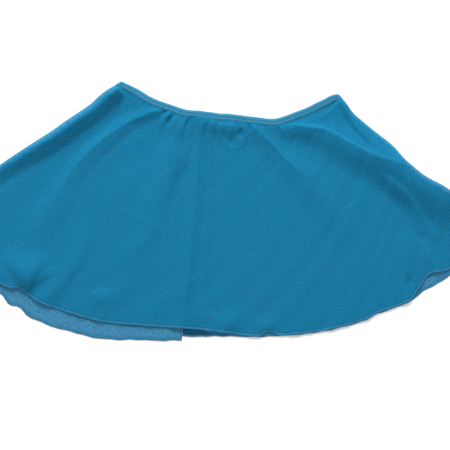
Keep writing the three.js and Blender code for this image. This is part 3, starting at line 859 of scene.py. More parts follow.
def mesh_object(
    name: str, points: np.ndarray, faces: np.ndarray, smooth: bool = True
) -> bpy.types.Object:
    """Make an object of points and faces and link it to the scene.

    Args:
        name: The piece's name.
        points: Its points in metres, one row each.
        faces: Its faces as rows of point numbers.
        smooth: Whether its faces are shaded smooth.

    Returns:
        The new object.
    """
    mesh = bpy.data.meshes.new(name)
    mesh.from_pydata(points.tolist(), [], faces.tolist())
    mesh.validate()
    mesh.polygons.foreach_set("use_smooth", [smooth] * len(mesh.polygons))
    mesh.update()
    piece = bpy.data.objects.new(name, mesh)
    bpy.context.scene.collection.objects.link(piece)
    return piece


def grid_normals(grid: np.ndarray) -> np.ndarray:
    """Give the direction out of a sheet at each of its points.

    Args:
        grid: Points by column and row.

    Returns:
        Unit directions of the same shape.
    """
    across = np.gradient(grid, axis=0)
    outward = np.gradient(grid, axis=1)
    normals = np.cross(outward, across)
    return normals / np.linalg.norm(normals, axis=-1, keepdims=True)


def grid_quads(columns: int, rows: int, first: int, is_turned: bool) -> np.ndarray:
    """List the faces of a grid of points.

    Args:
        columns: How many columns of points.
        rows: How many points in each.
        first: The number of the grid's first point.
        is_turned: Whether the faces look the other way.

    Returns:
        One row of four point numbers for each face.
    """
    numbers = first + np.arange(columns * rows).reshape(columns, rows)
    corners = [numbers[:-1, :-1], numbers[:-1, 1:], numbers[1:, 1:], numbers[1:, :-1]]
    quads = np.stack([corner.ravel() for corner in corners], axis=-1)
    return quads[:, ::-1] if is_turned else quads


def shell(grid: np.ndarray, thickness: float) -> tuple[np.ndarray, np.ndarray]:
    """Give a sheet its thickness as a closed thin shell.

    Args:
        grid: The sheet's middle, points by column and row.
        thickness: The cloth's thickness in metres.

    Returns:
        The shell's points and faces.
    """
    columns, rows = grid.shape[:2]
    normals = grid_normals(grid) * thickness / 2
    points = np.concatenate([(grid + normals).reshape(-1, 3), (grid - normals).reshape(-1, 3)])
    count = columns * rows
    numbers = np.arange(count).reshape(columns, rows)
    rim = np.concatenate([numbers[:, 0][::-1], numbers[0, 1:], numbers[1:, -1], numbers[-1, -2::-1]])
    rim = rim[:-1]
    after = np.roll(rim, -1)
    sides = np.stack([rim, rim + count, after + count, after], axis=-1)
    faces = [grid_quads(columns, rows, 0, False), grid_quads(columns, rows, count, True), sides]
    return points, np.concatenate(faces)


def bar(rings: np.ndarray, is_loop: bool) -> tuple[np.ndarray, np.ndarray]:
    """Join matching cross-sections into a closed bar.

    Args:
        rings: Points by cross-section and place round it.
        is_loop: Whether the bar's two ends meet.

    Returns:
        The bar's points and faces.
    """
    count, size = rings.shape[:2]
    numbers = np.arange(count * size).reshape(count, size)
    start = numbers if is_loop else numbers[:-1]
    end = np.roll(numbers, -1, axis=0) if is_loop else numbers[1:]
    corners = [start, np.roll(start, -1, axis=1), np.roll(end, -1, axis=1), end]
    faces = [np.stack([corner.ravel() for corner in corners], axis=-1)]
    if not is_loop:
        half = size // 2
        for ring, is_first in ((numbers[0], True), (numbers[-1], False)):
            there = [ring[: half - 1], ring[1:half]]
            back = [ring[size - 2 : half - 1 : -1], ring[size - 1 : half : -1]]
            cap = np.stack(there + back, axis=-1)
            faces.append(cap[:, ::-1] if is_first else cap)
    return rings.reshape(-1, 3), np.concatenate(faces)


def resample(path: np.ndarray, spacing: float) -> np.ndarray:
    """Walk along a path in even steps.

    Args:
        path: Rows whose first three values are points; the other values go along with them.
        spacing: The step in metres.

    Returns:
        New rows, evenly spaced.
    """
    lengths = np.linalg.norm(np.diff(path[:, :3], axis=0), axis=1)
    along = np.concatenate([[0.0], np.cumsum(lengths)])
    count = max(int(round(along[-1] / spacing)), 2)
    steps = np.linspace(0, along[-1], count + 1)
    return np.stack([np.interp(steps, along, column) for column in path.T], axis=-1)


def unit(vectors: np.ndarray) -> np.ndarray:
    """Scale vectors to a length of 1."""
    return vectors / np.linalg.norm(vectors, axis=-1, keepdims=True)


def cloth_object(
    name: str, grid: np.ndarray, thickness: float, flat: np.ndarray | None = None
) -> bpy.types.Object:
    """Make a piece of cloth that knows where each of its points was in the flat cut.

    Args:
        name: The piece's name.
        grid: The cloth's middle, points by column and row.
        thickness: Its thickness in millimetres.
        flat: The points' flat places, where they aren't just below the points.

    Returns:
        The piece, whose weave follows its layer of flat places.
    """
    points, faces = shell(grid, thickness * MM)
    piece = mesh_object(name, points, faces)
    places = points[:, :2] if flat is None else np.concatenate([flat, flat])
    layer = piece.data.uv_layers.new(name="cut")
    corners = np.zeros(len(piece.data.loops), dtype=np.int32)
    piece.data.loops.foreach_get("vertex_index", corners)
    layer.data.foreach_set("uv", places[corners].ravel())
    return piece


@dataclass(frozen=True)
class StitchRow:
    """A row of single stitches, with its measures in millimetres."""

    pitch: float
    length: float
    thickness: float
    spacing: float
    lie: float = 0.25
    ring_points: int = 6
    profile: tuple[tuple[float, float], ...] = (
        (0.0, 0.25), (0.18, 0.85), (0.5, 1.0), (0.82, 0.85), (1.0, 0.25),
    )

    def build(self, name: str, line: np.ndarray, up: np.ndarray) -> bpy.types.Object:
        """Lay the stitches along a line.

        Args:
            name: The piece's name.
            line: Points along the row.
            up: The direction out of the cloth at each.

        Returns:
            The piece.
        """
        row = resample(np.concatenate([line, up], axis=1), self.spacing * MM)
        path, up = row[:, :3], row[:, 3:]
        pitch, length, thickness = self.pitch * MM, self.length * MM, self.thickness * MM
        lengths = np.linalg.norm(np.diff(path, axis=0), axis=1)
        along = np.concatenate([[0.0], np.cumsum(lengths)])
        turns = np.arange(self.ring_points) / self.ring_points * 2 * math.pi
        points, faces = [], []
        for start in np.arange(pitch / 2, along[-1] - length, pitch):
            rings = []
            for share, wide in self.profile:
                at = start + share * length
                middle = np.array([np.interp(at, along, column) for column in path.T])
                ahead = np.array([np.interp(at + length / 4, along, column) for column in path.T])
                normal = unit(np.array([np.interp(at, along, column) for column in up.T]))
                sideways = unit(np.cross(normal, ahead - middle + 1e-9))
                ring = middle + normal * thickness * self.lie * wide
                offsets = np.outer(np.cos(turns), sideways) + np.outer(np.sin(turns), normal)
                rings.append(ring + offsets * thickness / 2 * wide)
            stitch_points, stitch_faces = bar(np.array(rings), False)
            faces.append(stitch_faces + len(points) * len(stitch_points))
            points.append(stitch_points)
        every_point = np.concatenate(points)
        every_point[:, 2] = np.maximum(every_point[:, 2], FLOOR_CLEARANCE * MM)
        return mesh_object(name, every_point, np.concatenate(faces))


@dataclass(frozen=True)
class OverlockedEdge:
    """Close slanting stitches wound round an edge, with measures in millimetres."""

    width: float
    thickness: float
    relief: float
    slant: float
    pitch: float
    rings_per_stitch: int
    section_points: int
    width_relief: float
    valley: float = 0.6

    def spacing(self) -> float:
        """Give the distance from one cross-section to the next, in metres."""
        return self.pitch * MM / self.rings_per_stitch

    def rings(
        self, middle: np.ndarray, outward: np.ndarray, up: np.ndarray, uneven: Number = 1.0
    ) -> np.ndarray:
        """Wind the thread round an edge.

        Args:
            middle: Evenly spaced points along the edge.
            outward: The direction away from the cloth at each.
            up: The direction out of the cloth at each.
            uneven: The thread's own share of its thickness at each.

        Returns:
            Points by cross-section and place round it.
        """
        beat = np.arange(len(middle)) / self.rings_per_stitch
        rings = []
        for turn in np.arange(self.section_points) / self.section_points * 2 * math.pi:
            phase = beat + self.slant * turn / (2 * math.pi)
            ridge = 1 + self.relief * (np.abs(np.sin(math.pi * phase)) - self.valley)
            wide = self.width / 2 * math.cos(turn) * uneven
            wide = wide * (1 - self.width_relief + self.width_relief * ridge)
            high = self.thickness / 2 * math.sin(turn) * uneven * ridge
            rings.append(middle + outward * (wide * MM)[:, None] + up * (high * MM)[:, None])
        return np.stack(rings, axis=1)


# Finishes

@dataclass
class Shader:
    """A small helper that adds nodes to a material and joins them."""

    material: bpy.types.Material

    @classmethod
    def new(cls, name: str) -> "Shader":
        """Start a material with an empty node tree."""
        material = bpy.data.materials.new(name)
        material.use_nodes = True
        material.node_tree.nodes.clear()
        return cls(material)

    def add(
        self, kind: str, settings: dict[str, object] | None = None, **inputs: object
    ) -> bpy.types.Node:
        """Add a node.

        Args:
            kind: The node's type.
            settings: Its properties.
            **inputs: Values or sockets for its inputs, with _ for a space in a name.

        Returns:
            The new node.
        """
        node = self.material.node_tree.nodes.new(kind)
        for key, value in (settings or {}).items():
            setattr(node, key, value)
        for key, value in inputs.items():
            socket = node.inputs[key.replace("_", " ")]
            if isinstance(value, bpy.types.NodeSocket):
                self.material.node_tree.links.new(value, socket)
            else:
                socket.default_value = value
        return node

    def join(self, node: bpy.types.Node, values: dict[int, object]) -> None:
        """Set a node's numbered inputs to values or sockets."""
        for index, value in values.items():
            if isinstance(value, bpy.types.NodeSocket):
                self.material.node_tree.links.new(value, node.inputs[index])
            else:
                node.inputs[index].default_value = value

    def blend(self, factor: object, first: object, second: object) -> bpy.types.NodeSocket:
        """Mix two colours, each a value or a socket, by a factor."""
        node = self.add("ShaderNodeMix", {"data_type": "RGBA"})
        self.join(node, {0: factor, 6: first, 7: second})
        return node.outputs[2]

    def math(self, operation: str, first: object, second: object) -> bpy.types.NodeSocket:
        """Combine two numbers, each a value or a socket."""
        node = self.add("ShaderNodeMath", {"operation": operation})
        self.join(node, {0: first, 1: second})
        return node.outputs[0]

    def noise(
        self, place: bpy.types.NodeSocket, scale: float, detail: float = 2.0, roughness: float = 0.5
    ) -> bpy.types.NodeSocket:
        """Add a noise and give the socket of its strength."""
        node = self.add(
            "ShaderNodeTexNoise", Vector=place, Scale=scale, Detail=detail, Roughness=roughness
        )
        return node.outputs["Fac"]

    def mottle(self, factor: object, colour: Colour, low: float, high: float) -> bpy.types.NodeSocket:
        """Blend a colour from a darker to a lighter shade of itself."""
        return self.blend(factor, shade(colour, low), shade(colour, high))

    def bump(self, height: object, strength: float, distance: float) -> bpy.types.NodeSocket:
        """Add a fine relief and give the socket of its directions."""
        node = self.add("ShaderNodeBump", Strength=strength, Distance=distance, Height=height)
        return node.outputs["Normal"]

    def finish(self, surface: bpy.types.NodeSocket) -> bpy.types.Material:
        """Send a shader to the material's output."""
        self.add("ShaderNodeOutputMaterial", Surface=surface)
        return self.material


def shade(colour: Colour, share: float) -> tuple[float, float, float, float]:
    """Make a colour lighter or darker by a factor, with full opacity."""
    return (*(channel * share for channel in colour), 1.0)


@dataclass(frozen=True)
class Georgette:
    """Sheer crepe georgette: fine plain weave of tightly twisted yarn with a pebbly face."""

    colour: Colour = (0.0055, 0.237, 0.432)
    alpha: float = 0.56
    openness: float = 0.5
    translucency: float = 0.24
    roughness: float = 0.82
    sheen: float = 0.2
    sheen_tint: tuple[float, float, float, float] = (0.85, 0.95, 1.0, 1.0)
    relief: float = 0.05
    yarns_per_metre: float = 2400.0
    crepe_per_metre: float = 620.0
    patches_per_metre: float = 14.0

    def material(self) -> bpy.types.Material:
        """Make the cloth's material.

        Returns:
            The material, whose weave follows the cloth's flat cut.
        """
        shader = Shader.new("georgette")
        cut = shader.add("ShaderNodeUVMap", {"uv_map": "cut"}).outputs["UV"]
        warp = self.yarns(shader, cut, "X")
        weft = self.yarns(shader, cut, "Y")
        weave = shader.math("MULTIPLY", warp, weft)
        crepe = shader.noise(cut, self.crepe_per_metre, 3.0, 0.6)
        pebbles = shader.noise(cut, self.crepe_per_metre * 2.6)
        patches = shader.noise(cut, self.patches_per_metre, 3.0, 0.55)
        # The grain's tone follows the crepe noise that also makes the relief: painted shade in the
        # relief's hollows and a painted highlight on its tops.
        grain = shader.mottle(crepe, self.colour, 0.95, 1.05)
        broad = shader.mottle(patches, self.colour, 0.94, 1.06)
        colour = shader.blend(0.5, grain, broad)
        # The yarns, which stand high in the relief, are lighter than the spaces between them: a painted
        # highlight on the yarns.
        colour = shader.blend(shader.math("MULTIPLY", weave, 0.25), colour, shade(self.colour, 1.25))
        relief = shader.math("ADD", shader.math("MULTIPLY", weave, 0.5), pebbles)
        relief = shader.math("ADD", relief, shader.math("MULTIPLY", crepe, 1.6))
        bump = shader.bump(relief, self.relief, 0.0004)
        face = shader.add(
            "ShaderNodeBsdfPrincipled", Base_Color=colour, Roughness=self.roughness, Normal=bump,
            Sheen_Weight=self.sheen, Sheen_Roughness=0.4, Specular_IOR_Level=0.15,
        )
        face.inputs["Sheen Tint"].default_value = self.sheen_tint
        through = shader.add("ShaderNodeBsdfTranslucent", Color=colour, Normal=bump)
        cloth = shader.add("ShaderNodeMixShader", Fac=self.translucency)
        gaps = shader.add("ShaderNodeBsdfTransparent")
        openness = shader.noise(cut, self.crepe_per_metre * 0.65)
        spread = shader.math("MULTIPLY", openness, self.openness)
        cover = shader.math("ADD", self.alpha - 0.5 * self.openness, spread)
        sheer = shader.add("ShaderNodeMixShader", Fac=cover)
        join = shader.material.node_tree.links.new
        join(face.outputs[0], cloth.inputs[1])
        join(through.outputs[0], cloth.inputs[2])
        join(gaps.outputs[0], sheer.inputs[1])
        join(cloth.outputs[0], sheer.inputs[2])
        return shader.finish(sheer.outputs[0])

    def yarns(self, shader: Shader, cut: bpy.types.NodeSocket, direction: str) -> bpy.types.NodeSocket:
        """Add one set of parallel yarns.

        Args:
            shader: The material being made.
            cut: The cloth's flat coordinates.
            direction: X for the warp or Y for the weft.

        Returns:
            A socket from 0 between yarns to 1 on a yarn.
        """
        wave = shader.add(
            "ShaderNodeTexWave", {"bands_direction": direction}, Vector=cut,
            Scale=self.yarns_per_metre / 20, Distortion=1.2, Detail=2.0, Detail_Scale=4.0,
        )
        return wave.outputs["Fac"]


@dataclass(frozen=True)
class Overlock:
    """Close overlocked thread along an edge."""

    name: str = "rolled_hem"
    colour: Colour = (0.01, 0.14, 0.262)
    roughness: float = 0.75
    sheen: float = 0.06

    def material(self) -> bpy.types.Material:
        """Make the thread's material.

        Returns:
            The material, with the twist of the yarn as its relief, and a colour that follows that
            relief: painted shade in its hollows and a painted highlight on its tops.
        """
        shader = Shader.new(self.name)
        place = shader.add("ShaderNodeTexCoord").outputs["Object"]
        fibre = shader.noise(place, 2600.0, 3.0, 0.6)
        patches = shader.noise(place, 60.0, 3.0)
        # The colour follows the fibre noise that also makes the bump: painted shade in the hollows of
        # the twist and a painted highlight on its tops.
        near = shader.mottle(fibre, self.colour, 0.8, 1.18)
        far = shader.mottle(patches, self.colour, 0.84, 1.16)
        colour = shader.blend(0.5, near, far)
        bump = shader.bump(fibre, 0.4, 0.0002)
        face = shader.add(
            "ShaderNodeBsdfPrincipled", Base_Color=colour, Roughness=self.roughness, Normal=bump,
            Sheen_Weight=self.sheen, Sheen_Roughness=0.35, Specular_IOR_Level=0.25,
        )
        return shader.finish(face.outputs[0])


@dataclass(frozen=True)
class Casing:
    """The waistband's casing: the same georgette, gathered close over elastic."""

    colour: Colour = (0.022, 0.172, 0.288)
    roughness: float = 0.8
    sheen: float = 0.08

    def material(self) -> bpy.types.Material:
        """Make the casing's material.

        Returns:
            The material, with close crinkles and the weave's grain; its colour follows the crinkle
            relief, with painted shade in the hollows and a painted highlight on the tops.
        """
        shader = Shader.new("waistband_casing")
        place = shader.add("ShaderNodeTexCoord").outputs["Object"]
        crinkle = shader.noise(place, 900.0, 4.0, 0.6)
        grain = shader.noise(place, 3200.0)
        patches = shader.noise(place, 70.0)
        # The colour follows the crinkle noise that also makes the relief: painted shade in the crinkles'
        # hollows and a painted highlight on their tops.
        near = shader.mottle(crinkle, self.colour, 0.78, 1.22)
        far = shader.mottle(patches, self.colour, 0.88, 1.12)
        colour = shader.blend(0.45, near, far)
        relief = shader.math("ADD", crinkle, shader.math("MULTIPLY", grain, 0.5))
        bump = shader.bump(relief, 0.4, 0.0005)
        face = shader.add(
            "ShaderNodeBsdfPrincipled", Base_Color=colour, Roughness=self.roughness, Normal=bump,
            Sheen_Weight=self.sheen, Sheen_Roughness=0.35, Specular_IOR_Level=0.2,
        )
        return shader.finish(face.outputs[0])


@dataclass(frozen=True)
class PaleFloor:
    """A plain, nearly white matt floor."""

    colour: Colour = (0.93, 0.93, 0.93)
    roughness: float = 0.9

    def material(self) -> bpy.types.Material:
        """Make the floor's material.

        Returns:
            The material, with a barely visible unevenness.
        """
        shader = Shader.new("pale_floor")
        place = shader.add("ShaderNodeTexCoord").outputs["Object"]
        colour = shader.mottle(shader.noise(place, 6.0), self.colour, 0.995, 1.005)
        face = shader.add(
            "ShaderNodeBsdfPrincipled", Base_Color=colour, Roughness=self.roughness,
            Specular_IOR_Level=0.1,
        )
        return shader.finish(face.outputs[0])


# The skirt's pieces

# How close together the front layer's columns lie, by their share of the way across
CLOSENESS = Curve(
    np.array([0, 0.2, 0.32, 0.5, 0.68, 0.78, 1.0]), np.array([1.6, 1.5, 0.85, 0.8, 0.9, 1.5, 1.6])
)


def dress(piece: bpy.types.Object, material: bpy.types.Material, slot: Slot, *nodes: str) -> None:
    """Give a piece its finish, its body and the nodes that it stands for.

    Args:
        piece: The piece.
        material: Its material.
        slot: The record's material slot; not used.
        *nodes: The CAD nodes that it replaces.
    """
    piece.data.materials.append(material)
    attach(piece, BODY)
    if nodes:
        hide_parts(*nodes)
    faces = sum(len(polygon.vertices) - 2 for polygon in piece.data.polygons)
    log.info("%s: %d triangles", piece.name, faces)


@dataclass
class SkirtCloth:
    """The skirt's one sheet of cloth: from the seam round the left fold, over the front, and back."""

    form: LaidForm
    finish: Georgette = Georgette()
    thickness: float = 0.32
    left_back_columns: int = 72
    right_back_columns: int = 88
    roll_columns: int = 8
    front_columns: int = 248
    rows: int = 98
    row_crowding: float = 1.2
    under_band: float = 1.6
    into_hem: float = 1.5
    seam_gap: float = 0.1
    closeness_steps: int = 201

    def line(self, along: np.ndarray, mix: Number, is_left: bool) -> Line:
        """Give the rows of the sheet as lines round the skirt.

        Args:
            along: Each row's share of the way from the waist to the hem.
            mix: 0 for the front layer's hem, 1 for the back layer's.
            is_left: Whether the sheet is to the left of the seam.

        Returns:
            A function from angles to radii.
        """
        def radius(angle: np.ndarray) -> np.ndarray:
            inner = self.form.band_end(angle) - self.under_band
            hem = lerp(SECTION.front_hem(angle), self.form.back_hem(angle, is_left), mix)
            return lerp(inner, hem - self.into_hem, along)

        return radius

    def front(self, along: np.ndarray) -> tuple[np.ndarray, np.ndarray, np.ndarray]:
        """Lay out the front layer's columns, closer together over the folds at the sides.

        Args:
            along: Each row's share of the way outward.

        Returns:
            The angles, radii and heights by column and row.
        """
        stations = np.linspace(0, 1, self.closeness_steps)
        closeness = CLOSENESS(stations)
        total = np.concatenate([[0], np.cumsum((closeness[1:] + closeness[:-1]) / 2)])
        shares = np.interp(np.linspace(0, 1, self.front_columns), total / total[-1], stations)
        angle, radius = place_between(
            lambda r: self.form.crest_angle(Side.LEFT, r),
            lambda r: self.form.crest_angle(Side.RIGHT, r),
            shares[:, None],
            self.line(along, 0, True),
        )
        return angle, radius, self.form.front_height(angle, radius)

    def back(self, along: np.ndarray, side: Side) -> tuple[np.ndarray, np.ndarray, np.ndarray]:
        """Lay out the back layer's columns from the seam to one side.

        Args:
            along: Each row's share of the way outward.
            side: Which side.

        Returns:
            The angles, radii and heights by column and row.
        """
        is_left = side is Side.LEFT
        columns = self.left_back_columns if is_left else self.right_back_columns
        shares = np.linspace(0, 1, columns)
        angle, radius = place_between(
            lambda r: SEAM.angle(r) + side.value * angle_of(self.seam_gap, r),
            lambda r: self.form.foot_angle(side, r),
            shares[:, None],
            self.line(along, 1, is_left),
        )
        return angle, radius, self.form.back_height(angle, radius, is_left)

    def roll(self, along: np.ndarray, side: Side) -> tuple[np.ndarray, np.ndarray, np.ndarray]:
        """Lay out a side roll from the floor up to its crest, without its two end columns.

        Args:
            along: Each row's share of the way outward.
            side: Which side.

        Returns:
            The angles, radii and heights by column and row.
        """
        form = self.form
        crest_angle, crest_radius = place_between(
            lambda r: form.crest_angle(side, r),
            lambda r: form.crest_angle(side, r),
            0.0,
            self.line(along, 0, True),
        )
        top = form.front_height(crest_angle, crest_radius)
        wide = form.roll_wide(side, crest_radius)
        belly = form.roll_belly(side, crest_radius)
        foot = form.foot_width(side, crest_radius)
        turns = np.linspace(-90, 90, 2 * self.roll_columns + 1)[1:-1]
        angles, radii, heights = [], [], []
        for turn in turns:
            lean = math.cos(turn * DEGREE)
            lift = math.sin(turn * DEGREE)
            is_upper = turn >= 0
            outward = wide * lean if is_upper else wide - foot * (1 - lean)
            height = belly + (top - belly if is_upper else belly - form.back_level) * lift
            angle = crest_angle + side.value * angle_of(outward, crest_radius)
            line = self.line(along, (90 - turn) / 180, side is Side.LEFT)
            angles.append(angle)
            radii.append(line(angle))
            heights.append(height)
        return np.array(angles), np.array(radii), np.array(heights)

    def sheet(self) -> tuple[np.ndarray, np.ndarray]:
        """Lay out the whole sheet in order round the skirt.

        Returns:
            Its points in metres and their radii in millimetres, by column and row.
        """
        along = np.linspace(0, 1, self.rows) ** self.row_crowding
        left_roll = self.roll(along, Side.LEFT)
        right_roll = self.roll(along, Side.RIGHT)
        parts = [
            self.back(along, Side.LEFT),
            left_roll,
            self.front(along),
            tuple(values[::-1] for values in right_roll),
            tuple(values[::-1] for values in self.back(along, Side.RIGHT)),
        ]
        angle, radius, height = (np.concatenate([part[index] for part in parts]) for index in range(3))
        return self.form.placed(angle, radius, height), radius

    def flat_places(self, grid: np.ndarray, radius: np.ndarray) -> np.ndarray:
        """Find where each point of the sheet was in the flat cut, so that the weave runs straight.

        Args:
            grid: The sheet's points by column and row.
            radius: Their radii.

        Returns:
            The flat places in metres by column and row.
        """
        steps = np.linalg.norm(np.diff(grid, axis=0), axis=-1)
        along = np.concatenate([np.zeros((1, grid.shape[1])), np.cumsum(steps, axis=0)])
        middle = self.left_back_columns + 2 * self.roll_columns + self.front_columns // 2
        turn = (along - along[middle]) / (radius * MM)
        return np.stack([radius * MM * np.sin(turn), -radius * MM * np.cos(turn)], axis=-1)

    def build(self) -> tuple[bpy.types.Object, np.ndarray]:
        """Make the cloth.

        Returns:
            The piece, and the sheet's points by column and row for the pieces sewn to it.
        """
        grid, radius = self.sheet()
        flat = self.flat_places(grid, radius).reshape(-1, 2)
        piece = cloth_object("skirt_cloth", grid, self.thickness, flat)
        nodes = ("front_panel", "back_panel_left", "back_panel_right")
        dress(piece, self.finish.material(), Slot.CLOTH, *nodes)
        return piece, grid


@dataclass
class RolledHem:
    """The narrow rolled edge all round, overlocked with close slanting stitches."""

    form: LaidForm
    finish: Overlock = Overlock()
    edge: OverlockedEdge = OverlockedEdge(
        width=2.9, thickness=0.8, relief=0.16, slant=0.5, pitch=1.7, rings_per_stitch=5,
        section_points=10, width_relief=0.5,
    )
    unevenness: float = 0.12
    unevenness_seed: int = 4

    def build(self, grid: np.ndarray) -> bpy.types.Object:
        """Make the hem along the sheet's outer edge.

        Args:
            grid: The sheet's points by column and row.

        Returns:
            The piece.
        """
        rim = grid[:, -1]
        outward = unit(rim - grid[:, -3])
        normals = grid_normals(grid)[:, -1]
        path = resample(np.concatenate([rim, outward, normals], axis=1), self.edge.spacing())
        middle, outward, up = path[:, :3], unit(path[:, 3:6]), unit(path[:, 6:9])
        beat = np.arange(len(middle)) / self.edge.rings_per_stitch
        stitches = int(beat[-1]) + 2
        sizes = np.random.RandomState(self.unevenness_seed).rand(stitches) - 0.5
        uneven = np.interp(beat, np.arange(stitches), 1 + self.unevenness * sizes)
        points, faces = bar(self.edge.rings(middle, outward, up, uneven)[:, ::-1], False)
        points[:, 2] = np.maximum(points[:, 2], FLOOR_CLEARANCE * MM)
        piece = mesh_object("rolled_hem", points, faces)
        dress(piece, self.finish.material(), Slot.HEM, "front_hem", "back_hem_left", "back_hem_right")
        return piece


@dataclass
class SeamAllowance:
    """The centre-back seam's two edges, overlocked together and turned to the right."""

    form: LaidForm
    # The allowance's georgette is about a tenth as light as the skirt's cloth: a painted shade for the
    # darker band right of the seam.
    finish: Georgette = Georgette(colour=(0.001, 0.022, 0.050), alpha=0.93)
    # The allowance's foot at the hem is a darker copy of the cloth: a painted shade for the dark wedge
    # under the front hem beside the seam.
    foot_painted_shade: Georgette = Georgette(colour=(0.002, 0.085, 0.19), alpha=0.9)
    edge_finish: Overlock = Overlock(name="allowance_thread")
    # The seam's thread is lighter than the cloth: real stitches whose colour is also a painted highlight
    # along the seam.
    stitch_highlight_finish: Overlock = Overlock(name="seam_thread_and_highlight", colour=(0.03, 0.34, 0.56))
    thickness: float = 0.55
    level: float = 1.5
    wave_height: float = 0.14
    start_gap: float = 0.5
    seam_clearance: float = 0.3
    hem_clearance: float = 0.4
    foot_rows: int = 6
    thread_short_by: int = 3
    rows: int = 90
    row_crowding: float = 0.8
    columns: int = 9
    seam_height: float = 0.75
    seam_offset: float = 0.7
    seam: StitchRow = StitchRow(pitch=2.6, length=2.3, thickness=0.6, spacing=0.5)
    edge: OverlockedEdge = OverlockedEdge(
        width=2.4, thickness=0.9, relief=0.3, slant=1.0, pitch=2.4, rings_per_stitch=6,
        section_points=8, width_relief=0.2,
    )

    def places(self, across: np.ndarray) -> tuple[np.ndarray, np.ndarray]:
        """Lay out the allowance.

        Args:
            across: Shares of its width from the seam, by column.

        Returns:
            The angles and radii by column and row.
        """
        form = self.form
        start = form.band_end(SEAM.angle(SEAM.start)) + self.start_gap
        along = np.linspace(0, 1, self.rows) ** self.row_crowding
        radii = lerp(start, form.allowance_end, along)[None, :]
        width = form.allowance_width(radii) * across[:, None]
        angle = SEAM.angle(radii) + angle_of(self.seam_clearance + width, radii)
        limit = form.back_hem(angle, False) - form.hem_width - self.hem_clearance
        return angle, np.minimum(radii, limit)

    def build(self) -> list[bpy.types.Object]:
        """Make the allowance, the seam's stitches and the overlocked thread along the free edge.

        Returns:
            The four pieces.
        """
        angle, radius = self.places(np.linspace(0, 1, self.columns))
        across = arc(SEAM.angle(radius), angle, radius)
        waves = Ripples(seed=21, count=8, shortest=14, longest=40).height(0.2 * across, 3 * radius)
        height = self.level + self.wave_height * waves * smooth_step(0, 6, across)
        grid = self.form.placed(angle, radius, height)
        cloth = cloth_object("seam_allowance", grid[:, : -self.foot_rows], self.thickness)
        # The allowance is dressed in its darker copy of the cloth, a painted shade.
        dress(cloth, self.finish.material(), Slot.CLOTH, "back_seam_allowance")
        foot = cloth_object("seam_allowance_foot", grid[:, -self.foot_rows - 1 :], self.thickness)
        # The foot takes the darker copy of the cloth, a painted shade.
        dress(foot, self.foot_painted_shade.material(), Slot.CLOTH)

        out = radius[0]
        line = self.form.placed(SEAM.angle(out) - angle_of(self.seam_offset, out), out, self.seam_height)
        stitches = self.seam.build("seam_stitches", line, np.tile(UP, (len(line), 1)))
        # The stitches take the lighter thread, a painted highlight along the seam.
        dress(stitches, self.stitch_highlight_finish.material(), Slot.HEM)

        path = resample(grid[-1, : -self.thread_short_by], self.edge.spacing())
        up = np.tile(UP, (len(path), 1))
        sideways = np.cross(up, unit(np.gradient(path, axis=0)))
        points, faces = bar(self.edge.rings(path, sideways, up), False)
        thread = mesh_object("allowance_overlock", points, faces)
        dress(thread, self.edge_finish.material(), Slot.HEM)
        return [cloth, foot, stitches, thread]


